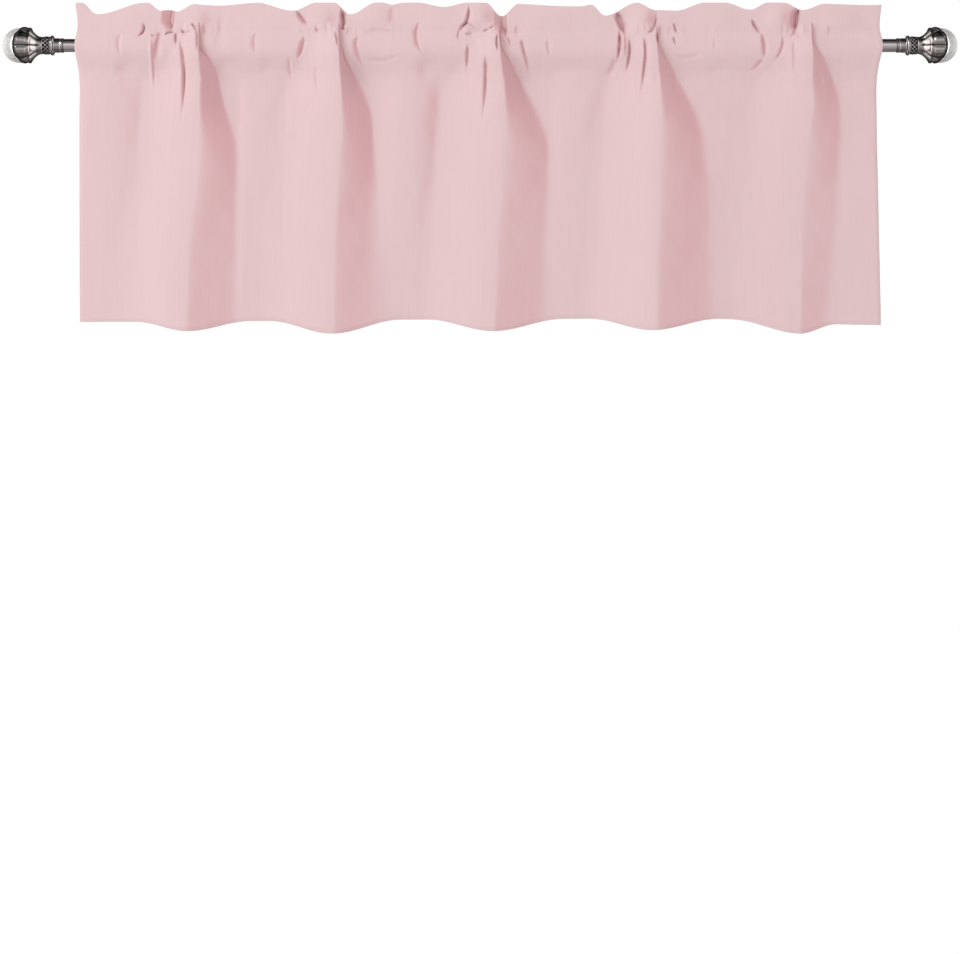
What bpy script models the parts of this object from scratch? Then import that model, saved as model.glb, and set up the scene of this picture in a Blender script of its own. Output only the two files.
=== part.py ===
"""Rod-pocket window valance, gathered on a curtain rod with ball finials.

Metres, +Z up, +X along the rod, the room side faces -Y.
The origin is on the rod's axis, halfway along the gathered cloth.
"""
import math

import bmesh
import bpy
import numpy as np

# ---------------------------------------------------------------- cloth sizes
GATHERED_WIDTH = 1.144      # along the rod, edge to edge
CLOTH_THICKNESS = 0.0016    # one layer; the header is two layers
HEADER_TOP = 0.0590         # heights are measured from the rod's axis
UPPER_STITCH = 0.0220       # seam between the header and the rod pocket
LOWER_STITCH = -0.0480      # seam between the rod pocket and the drop
HEM_LEVEL = -0.3930
POCKET_CLEARANCE = 0.0030   # cloth to rod, where a fold sinks back to it
DEEPEST_FOLD = 0.0200       # how far back a fold may sink where no rod stops it
NARROWEST_FALL = 0.0100     # least width of a bunch's steep side
FOOT_CORNER = 0.10          # how rounded the foot of a fold is, as a share of its depth
CREST_ROUND = 0.08          # and its crest, as a share of its width
CROWN_TURN = 0.40           # share of a bunch's slow side that bends at its top and foot
ROLL_SWELL = 1.7            # how much the right side of a roll swells
ROLLS_FULL = 0.10           # how far below the rod's axis the rolls are full
LINE_STEPS = 11             # straight steps along a bowed crease
CREASE_FADE = 0.30          # share of a crease over which it fades in, and out
SEAM_PINCH = 0.80           # how close the channel's corners come to their seams
DOUBLING_REACH = 0.010      # how far below the upper seam the cloth thickens to two layers
FOLD_RISE = 0.80            # height of the header's top fold, in thicknesses
CLOTH_COLUMNS = 116
BUNCH_FINENESS = 3.6        # how much closer the columns stand in a bunch
BUNCH_REACH = 0.044         # half the width of that finer stretch
FINE_SHIFT = 0.014          # how far that stretch stands to the right of a crest

DROP_ROWS = (0.00, 0.14, 0.32, 0.50, 0.67, 0.81, 0.91, 0.97)    # shares of the drop, hem first
POCKET_ROWS = (-0.0300, -0.0130, -0.0030, 0.0060, 0.0140)       # heights
HEADER_ROWS = (0.35, 0.70, 1.00)                                # shares of the header

# How a bunch changes down the cloth, one row for each height: how far its
# crest stands forward, how wide its slow side is (rise), how much its steep side
# swells before its foot (1 is straight), and how far it overhangs to +X for each
# metre forward.
SECTION_COLUMNS = ("height", "crest", "rise", "swell", "lean")
SECTIONS = (
    (-0.4000, 0.0220, 0.118, 1.15, 0.00),
    (-0.2500, 0.0205, 0.112, 1.45, 0.00),
    (-0.1490, 0.0200, 0.104, 1.45, 0.05),
    (-0.1070, 0.0215, 0.096, 1.25, 0.14),
    (-0.0780, 0.0235, 0.086, 1.08, 0.28),
    (-0.0480, 0.0210, 0.070, 1.00, 0.42),
    (-0.0210, 0.0155, 0.050, 1.00, 0.50),
    (0.0000, 0.0095, 0.038, 1.00, 0.40),
    (0.0220, 0.0055, 0.032, 1.00, 0.20),
    (0.0340, 0.0000, 0.032, 1.00, 0.00),
    (0.0590, 0.0000, 0.032, 1.00, 0.00),
)

# The five bunches, left to right: factors on the crest at the rod pocket and at
# the hem, and on the rise: (name, depth_top, depth_hem, rise).
BUNCHES = (
    ("first", 0.95, 0.85, 0.85),
    ("second", 1.08, 1.00, 1.00),
    ("third", 1.02, 1.04, 1.00),
    ("fourth", 0.95, 1.10, 0.95),
    ("fifth", 0.82, 0.52, 1.00),
)

# Where each bunch's crest stands along the rod, down the cloth.
PLACE_COLUMNS = ("height", "first", "second", "third", "fourth", "fifth")
CREST_PLACES = (
    (-0.4000, -0.4130, -0.2065, 0.0198, 0.2500, 0.4560),
    (-0.2500, -0.4060, -0.2040, 0.0248, 0.2520, 0.4590),
    (-0.1490, -0.3940, -0.1985, 0.0330, 0.2545, 0.4650),
    (-0.1070, -0.3925, -0.1968, 0.0380, 0.2550, 0.4700),
    (-0.0480, -0.3985, -0.1986, 0.0327, 0.2547, 0.4730),
    (0.0220, -0.4005, -0.2015, 0.0262, 0.2508, 0.4715),
)

# Where its steep side ends: close to the crest above the rod, and further and
# further from it in a wedge below.
FOOT_PLACES = (
    (-0.4000, -0.3520, -0.1330, 0.0950, 0.3330, 0.4990),
    (-0.2500, -0.3486, -0.1469, 0.1014, 0.3250, 0.5105),
    (-0.1490, -0.3526, -0.1549, 0.0962, 0.3179, 0.5125),
    (-0.1000, -0.3653, -0.1580, 0.0805, 0.3050, 0.5133),
    (-0.0750, -0.3710, -0.1659, 0.0670, 0.2940, 0.5108),
    (-0.0480, -0.3768, -0.1795, 0.0536, 0.2796, 0.5020),
    (-0.0165, -0.3885, -0.1940, 0.0379, 0.2630, 0.4883),
    (0.0220, -0.3993, -0.2003, 0.0274, 0.2520, 0.4727),
)

# Shallow rolls in the flat stretches between the bunches:
# (top_x, hem_x, forward_top, forward_hem, rise, fall).
ROLLS = (
    (-0.560, -0.570, 0.0048, 0.0004, 0.030, 0.066),
    (-0.335, -0.343, 0.0034, 0.0006, 0.030, 0.050),
    (-0.108, -0.126, 0.0078, 0.0004, 0.044, 0.046),
    (0.128, 0.114, 0.0030, 0.0008, 0.030, 0.046),
    (0.262, 0.262, 0.0045, 0.0035, 0.060, 0.105),
)

# Main lines of the gathering, each a bowed line through three points (x, height),
# how far the cloth sinks back, and the half width on the line's left and right:
# (x0, z0, x1, z1, x2, z2, back, left, right).
CREASES = (
    # first bunch
    (-0.452, 0.019, -0.459, 0.001, -0.461, -0.028, 0.0040, 0.008, 0.009),
    (-0.425, 0.012, -0.423, -0.040, -0.424, -0.112, 0.0045, 0.009, 0.008),
    (-0.443, 0.058, -0.444, 0.038, -0.442, 0.016, 0.0110, 0.015, 0.014),
    # second bunch
    (-0.262, 0.050, -0.252, 0.037, -0.244, 0.026, 0.0045, 0.010, 0.010),
    (-0.250, 0.014, -0.253, -0.006, -0.262, -0.022, 0.0040, 0.008, 0.009),
    (-0.191, 0.056, -0.191, 0.036, -0.196, 0.018, 0.0105, 0.013, 0.014),
    (-0.170, 0.013, -0.172, -0.006, -0.160, -0.040, 0.0035, 0.008, 0.009),
    # third bunch
    (-0.016, 0.056, -0.018, 0.036, -0.030, 0.018, 0.0045, 0.010, 0.010),
    (0.030, 0.054, 0.030, 0.036, 0.031, 0.016, 0.0110, 0.013, 0.014),
    (0.007, -0.012, 0.009, -0.050, 0.003, -0.112, 0.0040, 0.009, 0.008),
    (0.060, 0.006, 0.065, -0.016, 0.075, -0.050, 0.0040, 0.008, 0.010),
    # fourth bunch
    (0.194, 0.052, 0.200, 0.034, 0.206, 0.016, 0.0115, 0.013, 0.013),
    (0.198, 0.016, 0.199, 0.000, 0.195, -0.028, 0.0045, 0.008, 0.008),
    (0.232, 0.012, 0.235, -0.020, 0.226, -0.084, 0.0040, 0.009, 0.009),
    # fifth bunch
    (0.387, 0.048, 0.393, 0.030, 0.402, 0.016, 0.0045, 0.010, 0.010),
    (0.401, 0.016, 0.406, -0.001, 0.404, -0.024, 0.0040, 0.009, 0.009),
    (0.450, 0.054, 0.450, 0.036, 0.448, 0.016, 0.0100, 0.013, 0.013),
)

# Round puffs of the header: (x, height, half_width, half_height, forward).
PUFFS = (
    (-0.407, 0.036, 0.028, 0.026, 0.0035),
    (-0.227, 0.038, 0.026, 0.028, 0.0055),
    (-0.002, 0.040, 0.028, 0.026, 0.0050),
    (0.231, 0.034, 0.024, 0.028, 0.0060),
    (0.425, 0.038, 0.026, 0.028, 0.0055),
)

# Dips of the header's top edge below HEADER_TOP: (x, depth, left, right).
HEADER_DIPS = (
    (-0.549, 0.0155, 0.020, 0.056),
    (-0.445, 0.0115, 0.028, 0.034),
    (-0.269, 0.0090, 0.040, 0.032),
    (-0.183, 0.0150, 0.020, 0.036),
    (-0.055, 0.0045, 0.036, 0.026),
    (0.032, 0.0170, 0.019, 0.024),
    (0.120, 0.0040, 0.070, 0.050),
    (0.176, 0.0170, 0.020, 0.040),
    (0.267, 0.0095, 0.034, 0.036),
    (0.388, 0.0090, 0.030, 0.026),
    (0.464, 0.0090, 0.026, 0.030),
    (0.575, 0.0045, 0.050, 0.020),
)

# The hem's height where no bunch pulls it down, relative to HEM_LEVEL.
HEM_COLUMNS = ("x", "offset")
HEM_RUN = (
    (-0.572, -0.0025),
    (-0.322, -0.0010),
    (-0.100, 0.0010),
    (0.115, 0.0020),
    (0.318, 0.0030),
    (0.520, -0.0060),
    (0.572, -0.0070),
)

# The hem's dips under the bunches: (x, depth, left, right).
HEM_DIPS = (
    (-0.414, 0.0125, 0.076, 0.086),
    (-0.208, 0.0175, 0.095, 0.094),
    (0.020, 0.0155, 0.095, 0.100),
    (0.245, 0.0155, 0.090, 0.100),
    (0.454, 0.0150, 0.095, 0.058),
)

# The cloth over and above the rod: how far its front layer stands forward of
# the rod's axis, and how far its back layer stands behind it.
POCKET_COLUMNS = ("height", "front", "back")
POCKET_PROFILE = (
    (-0.0480, 0.0000, 0.0000),
    (-0.0380, 0.0032, 0.0040),
    (-0.0260, 0.0080, 0.0096),
    (-0.0160, 0.0122, 0.0130),
    (-0.0060, 0.0152, 0.0142),
    (0.0030, 0.0158, 0.0138),
    (0.0100, 0.0149, 0.0100),
    (0.0160, 0.0137, 0.0015),
    (0.0220, 0.0124, -0.0124),
    (0.0340, 0.0101, -0.0101),
    (0.0600, 0.0058, -0.0058),
)

# How far the side edges wander outwards.
EDGE_COLUMNS = ("height", "left", "right")
EDGE_RUN = (
    (-0.3900, 0.000, 0.001),
    (-0.2000, 0.000, -0.003),
    (-0.0520, 0.000, -0.005),
    (-0.0280, 0.002, -0.003),
    (0.0000, 0.005, 0.001),
    (0.0270, 0.001, -0.003),
    (0.0590, 0.004, 0.000),
)
EDGE_REACH = 0.050          # how far in from the side the wander is felt

# ------------------------------------------------------ rod and finial sizes
ROD_RADIUS = 0.0095
ROD_HALF_LENGTH = 0.5950
ROD_SEGMENTS = 32
PIECE_GAP = 0.0003          # between pieces that touch on the real thing

NECK_SEGMENTS = 32
SLEEVE_RADIUS = 0.0104
SLEEVE_LENGTH = 0.0135
FLANGE_RADIUS = 0.0145
FLANGE_WIDTH = 0.0050
BAND_RADIUS = 0.0132
BAND_WIDTH = 0.0105
NECK_LENGTH = SLEEVE_LENGTH + FLANGE_WIDTH + BAND_WIDTH
NECK_BEVEL = 0.0006

CUP_FLUTES = 8
CUP_SEGMENTS = 40
CUP_ROWS = 6
CUP_WALL = 0.0014
CUP_BASE_RADIUS = 0.0125
CUP_MOUTH_RADIUS = 0.0268
CUP_SHORT_REACH = 0.0185    # base to rim at the top and bottom tips
CUP_LONG_REACH = 0.0390     # base to rim at the front and back petals
CUP_FLUTE_DEPTH = 0.0009

BALL_RADIUS = 0.0252
BALL_CENTRE = 0.0330        # from the cup's base
BALL_GAP = 0.0007           # ball to bowl, wide enough for both sets of facets
BOWL_FLOOR_ANGLE = 0.25     # half angle of the bowl's flat floor, seen from the ball's centre
FLARE_START = 0.002         # from the cup's base to where it begins to flare
FLUTE_START = 0.001         # and to where its flutes begin
FLUTE_FULL = 0.010          # and to where they are full
BALL_SEGMENTS = 28
BALL_RINGS = 16

# ------------------------------------------------------------------ finishes
CLOTH_FINISH = ("dusty_pink_cloth", (0.78, 0.56, 0.59), 0.90, 0.0)
METAL_FINISH = ("gunmetal", (0.16, 0.14, 0.14), 0.28, 1.0)
GLASS_FINISH = ("crackle_glass", (0.72, 0.72, 0.70), 0.22, 0.0)
SHARP_ANGLE = math.radians(35)


def column(table, names, name):
    """One named column of a table as an array."""
    return np.array([row[names.index(name)] for row in table])


def smooth_interp(at, knots, values):
    """Values between the knots on a smooth curve that runs through them all."""
    slopes = np.gradient(values, knots)
    at = np.clip(at, knots[0], knots[-1])
    cell = np.clip(np.searchsorted(knots, at, side="right") - 1, 0, len(knots) - 2)
    span = knots[cell + 1] - knots[cell]
    t = (at - knots[cell]) / span
    start, end = values[cell], values[cell + 1]
    curve = (2 * t**3 - 3 * t**2 + 1) * start + (3 * t**2 - 2 * t**3) * end
    return curve + span * ((t**3 - 2 * t**2 + t) * slopes[cell] + (t**3 - t**2) * slopes[cell + 1])


def bump(offset, rise, fall):
    """A rounded hump: 1 at offset 0, and 0 past -rise and +fall."""
    reach = np.where(offset < 0, -offset / rise, offset / fall)
    return 0.5 + 0.5 * np.cos(np.pi * np.clip(reach, 0, 1))


def ramp(value, start, end):
    """0 before start, 1 after end, and a soft change between them."""
    t = np.clip((value - start) / (end - start), 0, 1)
    return t * t * (3 - 2 * t)


def soft_fall(share, turn):
    """Falls from 1 to 0 as share goes from 0 to 1: straight, but bent over a turn at each end."""
    t = np.clip(share, 0, 1)
    near = t**2 / (2 * turn)
    far = 1 - turn - (1 - t)**2 / (2 * turn)
    gone = np.where(t < turn, near, np.where(t > 1 - turn, far, t - turn / 2))
    return 1 - gone / (1 - turn)


def swelling_fall(share, swell):
    """Falls from 1 to 0, steeper and steeper, from a small round crest to a small round foot."""
    t = np.clip(share, 0, 3)
    t = np.sqrt(t**2 + CREST_ROUND**2) - CREST_ROUND
    left = 1 - t**swell
    return (left + np.sqrt(left**2 + FOOT_CORNER**2)) / (1 + math.hypot(1, FOOT_CORNER))


# ---------------------------------------------------------------- the cloth
def section_value(name, height):
    """A column of the section table at any height."""
    return smooth_interp(height, column(SECTIONS, SECTION_COLUMNS, "height"),
                         column(SECTIONS, SECTION_COLUMNS, name))


def share_of_drop(height):
    """0 at the lower stitching and above it, 1 at the hem."""
    return np.clip((LOWER_STITCH - height) / (LOWER_STITCH - HEM_LEVEL), 0, 1)


def bunch_place(table, name, height):
    """A bunch's crest or foot along the rod at any height."""
    return smooth_interp(height, column(table, PLACE_COLUMNS, "height"),
                         column(table, PLACE_COLUMNS, name))


def bunch_relief(x, height):
    """How far bunches, rolls and puffs stand forward, and how far bunches lean to +X."""
    down = share_of_drop(height)
    crest = section_value("crest", height)
    rise = section_value("rise", height)
    swell = section_value("swell", height)
    slant = section_value("lean", height)
    forward = np.zeros_like(x)
    lean = np.zeros_like(x)
    for name, depth_top, depth_hem, rise_factor in BUNCHES:
        stand = crest * (depth_top + (depth_hem - depth_top) * np.sqrt(down))
        overhang = slant * stand
        place = bunch_place(CREST_PLACES, name, height)
        fall = np.maximum(bunch_place(FOOT_PLACES, name, height) - place, NARROWEST_FALL)
        offset = x - place + overhang
        slow = soft_fall(-offset / (rise * rise_factor), CROWN_TURN)
        steep = swelling_fall(offset / (fall + overhang), swell)
        one = stand * np.where(offset < 0, slow, steep)
        forward = np.maximum(forward, one)
        lean = np.maximum(lean, one * slant)
    below_rod = ramp(-height, 0.0, ROLLS_FULL)
    for top_x, hem_x, forward_top, forward_hem, rise_width, fall_width in ROLLS:
        offset = x - (top_x + (hem_x - top_x) * down)
        roll = forward_top + (forward_hem - forward_top) * down
        shape = np.where(offset < 0, bump(offset, rise_width, fall_width),
                         swelling_fall(offset / fall_width, ROLL_SWELL))
        forward = forward + roll * below_rod * shape
    for puff_x, level, half_width, half_height, puff in PUFFS:
        round_off = bump(x - puff_x, half_width, half_width)
        forward = forward + puff * round_off * bump(height - level, half_height, half_height)
    return forward, lean


def beside_line(x, height, line):
    """Signed distance to a bowed line, positive on its right, and the share along it."""
    start, middle, end = (np.array(point) for point in line)
    bend = 2 * middle - (start + end) / 2
    share = np.linspace(0, 1, LINE_STEPS + 1)[:, None]
    points = (1 - share)**2 * start + 2 * share * (1 - share) * bend + share**2 * end
    nearest = np.full_like(x, np.inf)
    along = np.zeros_like(x)
    for i, (a, b) in enumerate(zip(points, points[1:])):
        run = b - a
        t = np.clip(((x - a[0]) * run[0] + (height - a[1]) * run[1]) / (run @ run), 0, 1)
        off_x = x - a[0] - t * run[0]
        off_z = height - a[1] - t * run[1]
        distance = np.hypot(off_x, off_z) * np.where(run[0] * off_z - run[1] * off_x < 0, -1, 1)
        closer = np.abs(distance) < np.abs(nearest)
        nearest = np.where(closer, distance, nearest)
        along = np.where(closer, (i + t) / LINE_STEPS, along)
    return nearest, along


def crease_relief(x, height):
    """How far the lines of the gathering sink back."""
    back = np.zeros_like(x)
    for x0, z0, x1, z1, x2, z2, depth, left, right in CREASES:
        distance, along = beside_line(x, height, ((x0, z0), (x1, z1), (x2, z2)))
        fade = ramp(along, 0, CREASE_FADE) * ramp(1 - along, 0, CREASE_FADE)
        back += depth * fade * bump(distance, left, right)
    return back


def header_edge(x):
    """Height of the header's top fold."""
    edge = np.full_like(x, HEADER_TOP)
    for dip_x, depth, left, right in HEADER_DIPS:
        edge -= depth * bump(x - dip_x, left, right)
    return edge


def hem_edge(x):
    """Height of the hem, lowest under each bunch."""
    edge = HEM_LEVEL + smooth_interp(x, column(HEM_RUN, HEM_COLUMNS, "x"),
                                     column(HEM_RUN, HEM_COLUMNS, "offset"))
    for dip_x, depth, left, right in HEM_DIPS:
        edge -= depth * bump(x - dip_x, left, right)
    return edge


def pocket_layers(height):
    """How far the front layer stands forward, and the back layer behind the rod's axis."""
    heights = column(POCKET_PROFILE, POCKET_COLUMNS, "height")
    front = smooth_interp(height, heights, column(POCKET_PROFILE, POCKET_COLUMNS, "front"))
    back = smooth_interp(height, heights, column(POCKET_PROFILE, POCKET_COLUMNS, "back"))
    inside = (height > LOWER_STITCH) & (height < UPPER_STITCH)
    return front, np.where(inside, back, -front)


def side_wander(x, height):
    """How far the side edges are drawn in or let out at each height."""
    heights = column(EDGE_RUN, EDGE_COLUMNS, "height")
    edge = GATHERED_WIDTH / 2
    shift = np.zeros_like(x)
    for name, way in (("left", -1), ("right", 1)):
        out = smooth_interp(height, heights, column(EDGE_RUN, EDGE_COLUMNS, name))
        shift += way * out * ramp(way * x, edge - EDGE_REACH, edge)
    return shift


def column_places():
    """Places of the cloth's columns along the rod, closer together in each bunch."""
    fine = np.linspace(-GATHERED_WIDTH / 2, GATHERED_WIDTH / 2, 2001)
    density = np.ones_like(fine)
    for name, *_ in BUNCHES:
        middle = bunch_place(CREST_PLACES, name, LOWER_STITCH) + FINE_SHIFT
        density += BUNCH_FINENESS * np.exp(-(((fine - middle) / BUNCH_REACH) ** 2))
    length = np.concatenate(([0], np.cumsum((density[1:] + density[:-1]) / 2)))
    return np.interp(np.linspace(0, length[-1], CLOTH_COLUMNS), length, fine)


def chain_heights(x):
    """Heights of every row from the hem to the header's top, one line for each row."""
    hem = hem_edge(x)
    top = header_edge(x)
    rows = [hem + share * (LOWER_STITCH - hem) for share in DROP_ROWS]
    rows += [np.full_like(x, LOWER_STITCH)]
    rows += [np.full_like(x, height) for height in POCKET_ROWS]
    rows += [np.full_like(x, UPPER_STITCH)]
    rows += [UPPER_STITCH + share * (top - UPPER_STITCH) for share in HEADER_ROWS]
    return np.array(rows)


def layer_points(x, heights, side):
    """Middle of the front (side -1) or back (side +1) layer, as rows of points."""
    grid_x = np.broadcast_to(x, heights.shape).copy()
    forward, lean = bunch_relief(grid_x, heights)
    forward = forward - crease_relief(grid_x, heights)
    front, back = pocket_layers(heights)
    half_depth = (front + back) / 2
    clear = ROD_RADIUS + POCKET_CLEARANCE + CLOTH_THICKNESS / 2
    pressed = np.clip(1 - half_depth / clear, 0, 1)
    own_depth = back if side > 0 else front
    room = own_depth - np.sqrt(np.maximum(clear**2 - heights**2, 0)) + DEEPEST_FOLD * pressed
    forward = np.maximum(forward, -np.maximum(room, 0))
    held = pressed if side > 0 else 1.0
    along = grid_x + lean * held + side_wander(grid_x, heights)
    depth = (back if side > 0 else -front) - forward * held
    return np.stack((along, depth, heights), axis=-1)


def room_side_normals(points):
    """Unit normals of a grid of points, facing the room."""
    along = np.gradient(points, axis=1)
    up = np.gradient(points, axis=0)
    normals = np.cross(along, up)
    return normals / np.linalg.norm(normals, axis=-1, keepdims=True)


def half_thickness(heights):
    """Half the cloth's thickness: one layer in the drop, two in the header."""
    doubled = ramp(heights, UPPER_STITCH - DOUBLING_REACH, UPPER_STITCH)
    return (CLOTH_THICKNESS / 2 * (1 + doubled))[..., None]


def cloth_mesh():
    """One closed skin: drop, rod pocket with its channel, and folded header."""
    x = column_places()
    heights = chain_heights(x)
    front = layer_points(x, heights, -1)
    back = layer_points(x, heights, +1)
    front_normal = room_side_normals(front)
    back_normal = room_side_normals(back)
    reach = half_thickness(heights)
    single = CLOTH_THICKNESS / 2

    seam = len(DROP_ROWS)
    crown = seam + len(POCKET_ROWS) + 1
    inside = slice(seam + 1, crown)

    outer_front = front + front_normal * reach
    outer_back = back - back_normal * reach
    inner_front = front[inside] - front_normal[inside] * single
    inner_back = back[inside] + back_normal[inside] * single
    fold = front[-1:] + np.array((0, 0, CLOTH_THICKNESS * FOLD_RISE))
    middle = (inner_front + inner_back) / 2
    channel_floor = front[seam:seam + 1] * SEAM_PINCH + middle[:1] * (1 - SEAM_PINCH)
    channel_roof = front[crown:crown + 1] * SEAM_PINCH + middle[-1:] * (1 - SEAM_PINCH)

    mesh = bmesh.new()

    def add_rows(rows):
        return [[mesh.verts.new(point) for point in row] for row in rows]

    skin = add_rows(outer_front) + add_rows(fold) + add_rows(outer_back[::-1])
    channel = (add_rows(channel_floor) + add_rows(inner_front)
               + add_rows(channel_roof) + add_rows(inner_back[::-1]))
    for ring in (skin, channel):
        for lower, upper in zip(ring, ring[1:] + ring[:1]):
            for i in range(CLOTH_COLUMNS - 1):
                mesh.faces.new((lower[i], lower[i + 1], upper[i + 1], upper[i]))

    rows = len(heights)
    pocket = len(POCKET_ROWS)
    for end in (0, -1):
        face_front = [skin[i][end] for i in range(rows)]
        face_back = [skin[2 * rows - i][end] for i in range(rows)]
        floor = channel[0][end]
        wall_front = [channel[1 + i][end] for i in range(pocket)]
        roof = channel[1 + pocket][end]
        wall_back = [channel[len(channel) - 1 - i][end] for i in range(pocket)]
        for i in list(range(seam)) + list(range(crown, rows - 1)):
            mesh.faces.new((face_front[i], face_front[i + 1], face_back[i + 1], face_back[i]))
        mesh.faces.new((face_front[-1], skin[rows][end], face_back[-1]))
        mesh.faces.new((face_front[seam], floor, face_back[seam]))
        mesh.faces.new((face_front[crown], face_back[crown], roof))
        for face, wall in ((face_front, wall_front), (face_back, wall_back)):
            lining = [floor] + wall + [roof]
            for i in range(pocket + 1):
                mesh.faces.new((face[seam + i], face[seam + i + 1], lining[i + 1], lining[i]))
    return mesh


# ------------------------------------------------------- rod, necks and balls
def turned_mesh(profile, segments):
    """A closed solid turned about X from (x, radius) pairs, first to last."""
    mesh = bmesh.new()
    rings = []
    for x, radius in profile:
        ring = []
        for i in range(segments):
            angle = 2 * math.pi * i / segments
            ring.append(mesh.verts.new((x, -radius * math.cos(angle), radius * math.sin(angle))))
        rings.append(ring)
    join_rings(mesh, rings)
    mesh.faces.new(rings[0])
    mesh.faces.new(rings[-1])
    return mesh


def join_rings(mesh, rings):
    """Quads between rings of equal length, one after the other."""
    for first, second in zip(rings, rings[1:]):
        count = len(first)
        for i in range(count):
            j = (i + 1) % count
            mesh.faces.new((first[i], first[j], second[j], second[i]))


def rod_mesh():
    """A plain round rod with eased ends."""
    end = ROD_HALF_LENGTH
    ease = NECK_BEVEL
    profile = ((-end, ROD_RADIUS - ease), (-end + ease, ROD_RADIUS),
               (end - ease, ROD_RADIUS), (end, ROD_RADIUS - ease))
    return turned_mesh(profile, ROD_SEGMENTS)


def neck_mesh():
    """Sleeve, flange and band from the rod's end outwards, starting at x = 0."""
    ease = NECK_BEVEL
    flange_start = SLEEVE_LENGTH
    band_start = SLEEVE_LENGTH + FLANGE_WIDTH
    flange_middle = flange_start + FLANGE_WIDTH / 2
    band_middle = band_start + BAND_WIDTH / 2
    profile = (
        (0, SLEEVE_RADIUS - ease),
        (ease, SLEEVE_RADIUS),
        (flange_start - ease, SLEEVE_RADIUS),
        (flange_start, SLEEVE_RADIUS + ease),
        (flange_start + ease, FLANGE_RADIUS - 2 * ease),
        (flange_middle, FLANGE_RADIUS),
        (band_start - ease, FLANGE_RADIUS - 2 * ease),
        (band_start, BAND_RADIUS - 2 * ease),
        (band_start + ease, BAND_RADIUS - ease),
        (band_middle, BAND_RADIUS),
        (NECK_LENGTH - ease, CUP_BASE_RADIUS),
        (NECK_LENGTH, CUP_BASE_RADIUS - ease),
    )
    return turned_mesh(profile, NECK_SEGMENTS)


def cup_reach(angle):
    """Base to rim: long at the front and back petals, short at the two tips."""
    return CUP_SHORT_REACH + (CUP_LONG_REACH - CUP_SHORT_REACH) * abs(math.cos(angle))


def cup_radius(x):
    """Outer radius of the cup: a narrow foot that flares to the mouth, then runs straight."""
    flare = float(ramp(x, FLARE_START, CUP_SHORT_REACH))
    return CUP_BASE_RADIUS + (CUP_MOUTH_RADIUS - CUP_BASE_RADIUS) * flare


def bowl_radius(x):
    """Inner radius of the cup: the ball's own curve plus a gap, out to its widest."""
    seat = BALL_RADIUS + BALL_GAP
    away = min(x - BALL_CENTRE, 0)
    return math.sqrt(max(seat**2 - away**2, 0))


def bowl_place(share, reach):
    """Place along the bowl's lining, from the hollow's floor (0) to the rim (1)."""
    seat = BALL_RADIUS + BALL_GAP
    past_widest = max(reach - BALL_CENTRE, 0)
    end_angle = math.acos(min((BALL_CENTRE - reach) / seat, 1)) if past_widest == 0 else math.pi / 2
    travel = BOWL_FLOOR_ANGLE * seat
    travel += (end_angle * seat + past_widest - travel) * share
    if travel < end_angle * seat:
        return BALL_CENTRE - seat * math.cos(travel / seat)
    return BALL_CENTRE - seat * math.cos(end_angle) + travel - end_angle * seat


def cup_mesh():
    """A fluted, petalled cup that opens outwards from x = 0."""
    mesh = bmesh.new()
    outer, inner = [], []
    for row in range(CUP_ROWS + 1):
        share = row / CUP_ROWS
        outer_ring, inner_ring = [], []
        for i in range(CUP_SEGMENTS):
            angle = 2 * math.pi * i / CUP_SEGMENTS
            reach = cup_reach(angle)
            outer_x = reach * share
            inner_x = bowl_place(share, reach)
            flute = CUP_FLUTE_DEPTH * (1 - abs(math.sin(CUP_FLUTES / 2 * angle)))
            flute *= float(ramp(outer_x, FLUTE_START, FLUTE_FULL))
            wide = max(cup_radius(outer_x), bowl_radius(outer_x) + CUP_WALL) - flute
            outer_ring.append(polar_vert(mesh, outer_x, wide, angle))
            inner_ring.append(polar_vert(mesh, inner_x, bowl_radius(inner_x), angle))
        outer.append(outer_ring)
        inner.append(inner_ring)
    join_rings(mesh, outer + inner[::-1])
    mesh.faces.new(outer[0])
    mesh.faces.new(inner[0])
    return mesh


def polar_vert(mesh, x, radius, angle):
    """A corner at x along the rod; angle 0 faces the room."""
    return mesh.verts.new((x, -radius * math.cos(angle), radius * math.sin(angle)))


def ball_mesh():
    """A glass ball with its poles on the rod's axis."""
    profile = []
    for ring in range(1, BALL_RINGS):
        angle = math.pi * ring / BALL_RINGS
        profile.append((-BALL_RADIUS * math.cos(angle), BALL_RADIUS * math.sin(angle)))
    return turned_mesh(profile, BALL_SEGMENTS)


# ------------------------------------------------------------------ assembly
def finish_material(finish):
    """A Principled material from a name, colour, roughness and metallic value."""
    name, colour, roughness, metallic = finish
    material = bpy.data.materials.get(name) or bpy.data.materials.new(name)
    material.use_nodes = True
    shader = material.node_tree.nodes["Principled BSDF"]
    shader.inputs["Base Color"].default_value = (*colour, 1.0)
    shader.inputs["Roughness"].default_value = roughness
    shader.inputs["Metallic"].default_value = metallic
    return material


def add_piece(name, mesh, finish, location=(0, 0, 0), half_turn=False):
    """Closes the mesh outwards and places it; half_turn faces it to -X."""
    bmesh.ops.recalc_face_normals(mesh, faces=mesh.faces)
    data = bpy.data.meshes.new(name)
    mesh.to_mesh(data)
    mesh.free()
    data.shade_smooth()
    data.set_sharp_from_angle(angle=SHARP_ANGLE)
    data.materials.append(finish_material(finish))
    piece = bpy.data.objects.new(name, data)
    piece.location = location
    if half_turn:
        piece.rotation_euler = (0, 0, math.pi)
    bpy.context.scene.collection.objects.link(piece)
    return piece


def clear_scene():
    """Removes whatever the scene holds."""
    for piece in list(bpy.data.objects):
        bpy.data.objects.remove(piece, do_unlink=True)


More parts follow.
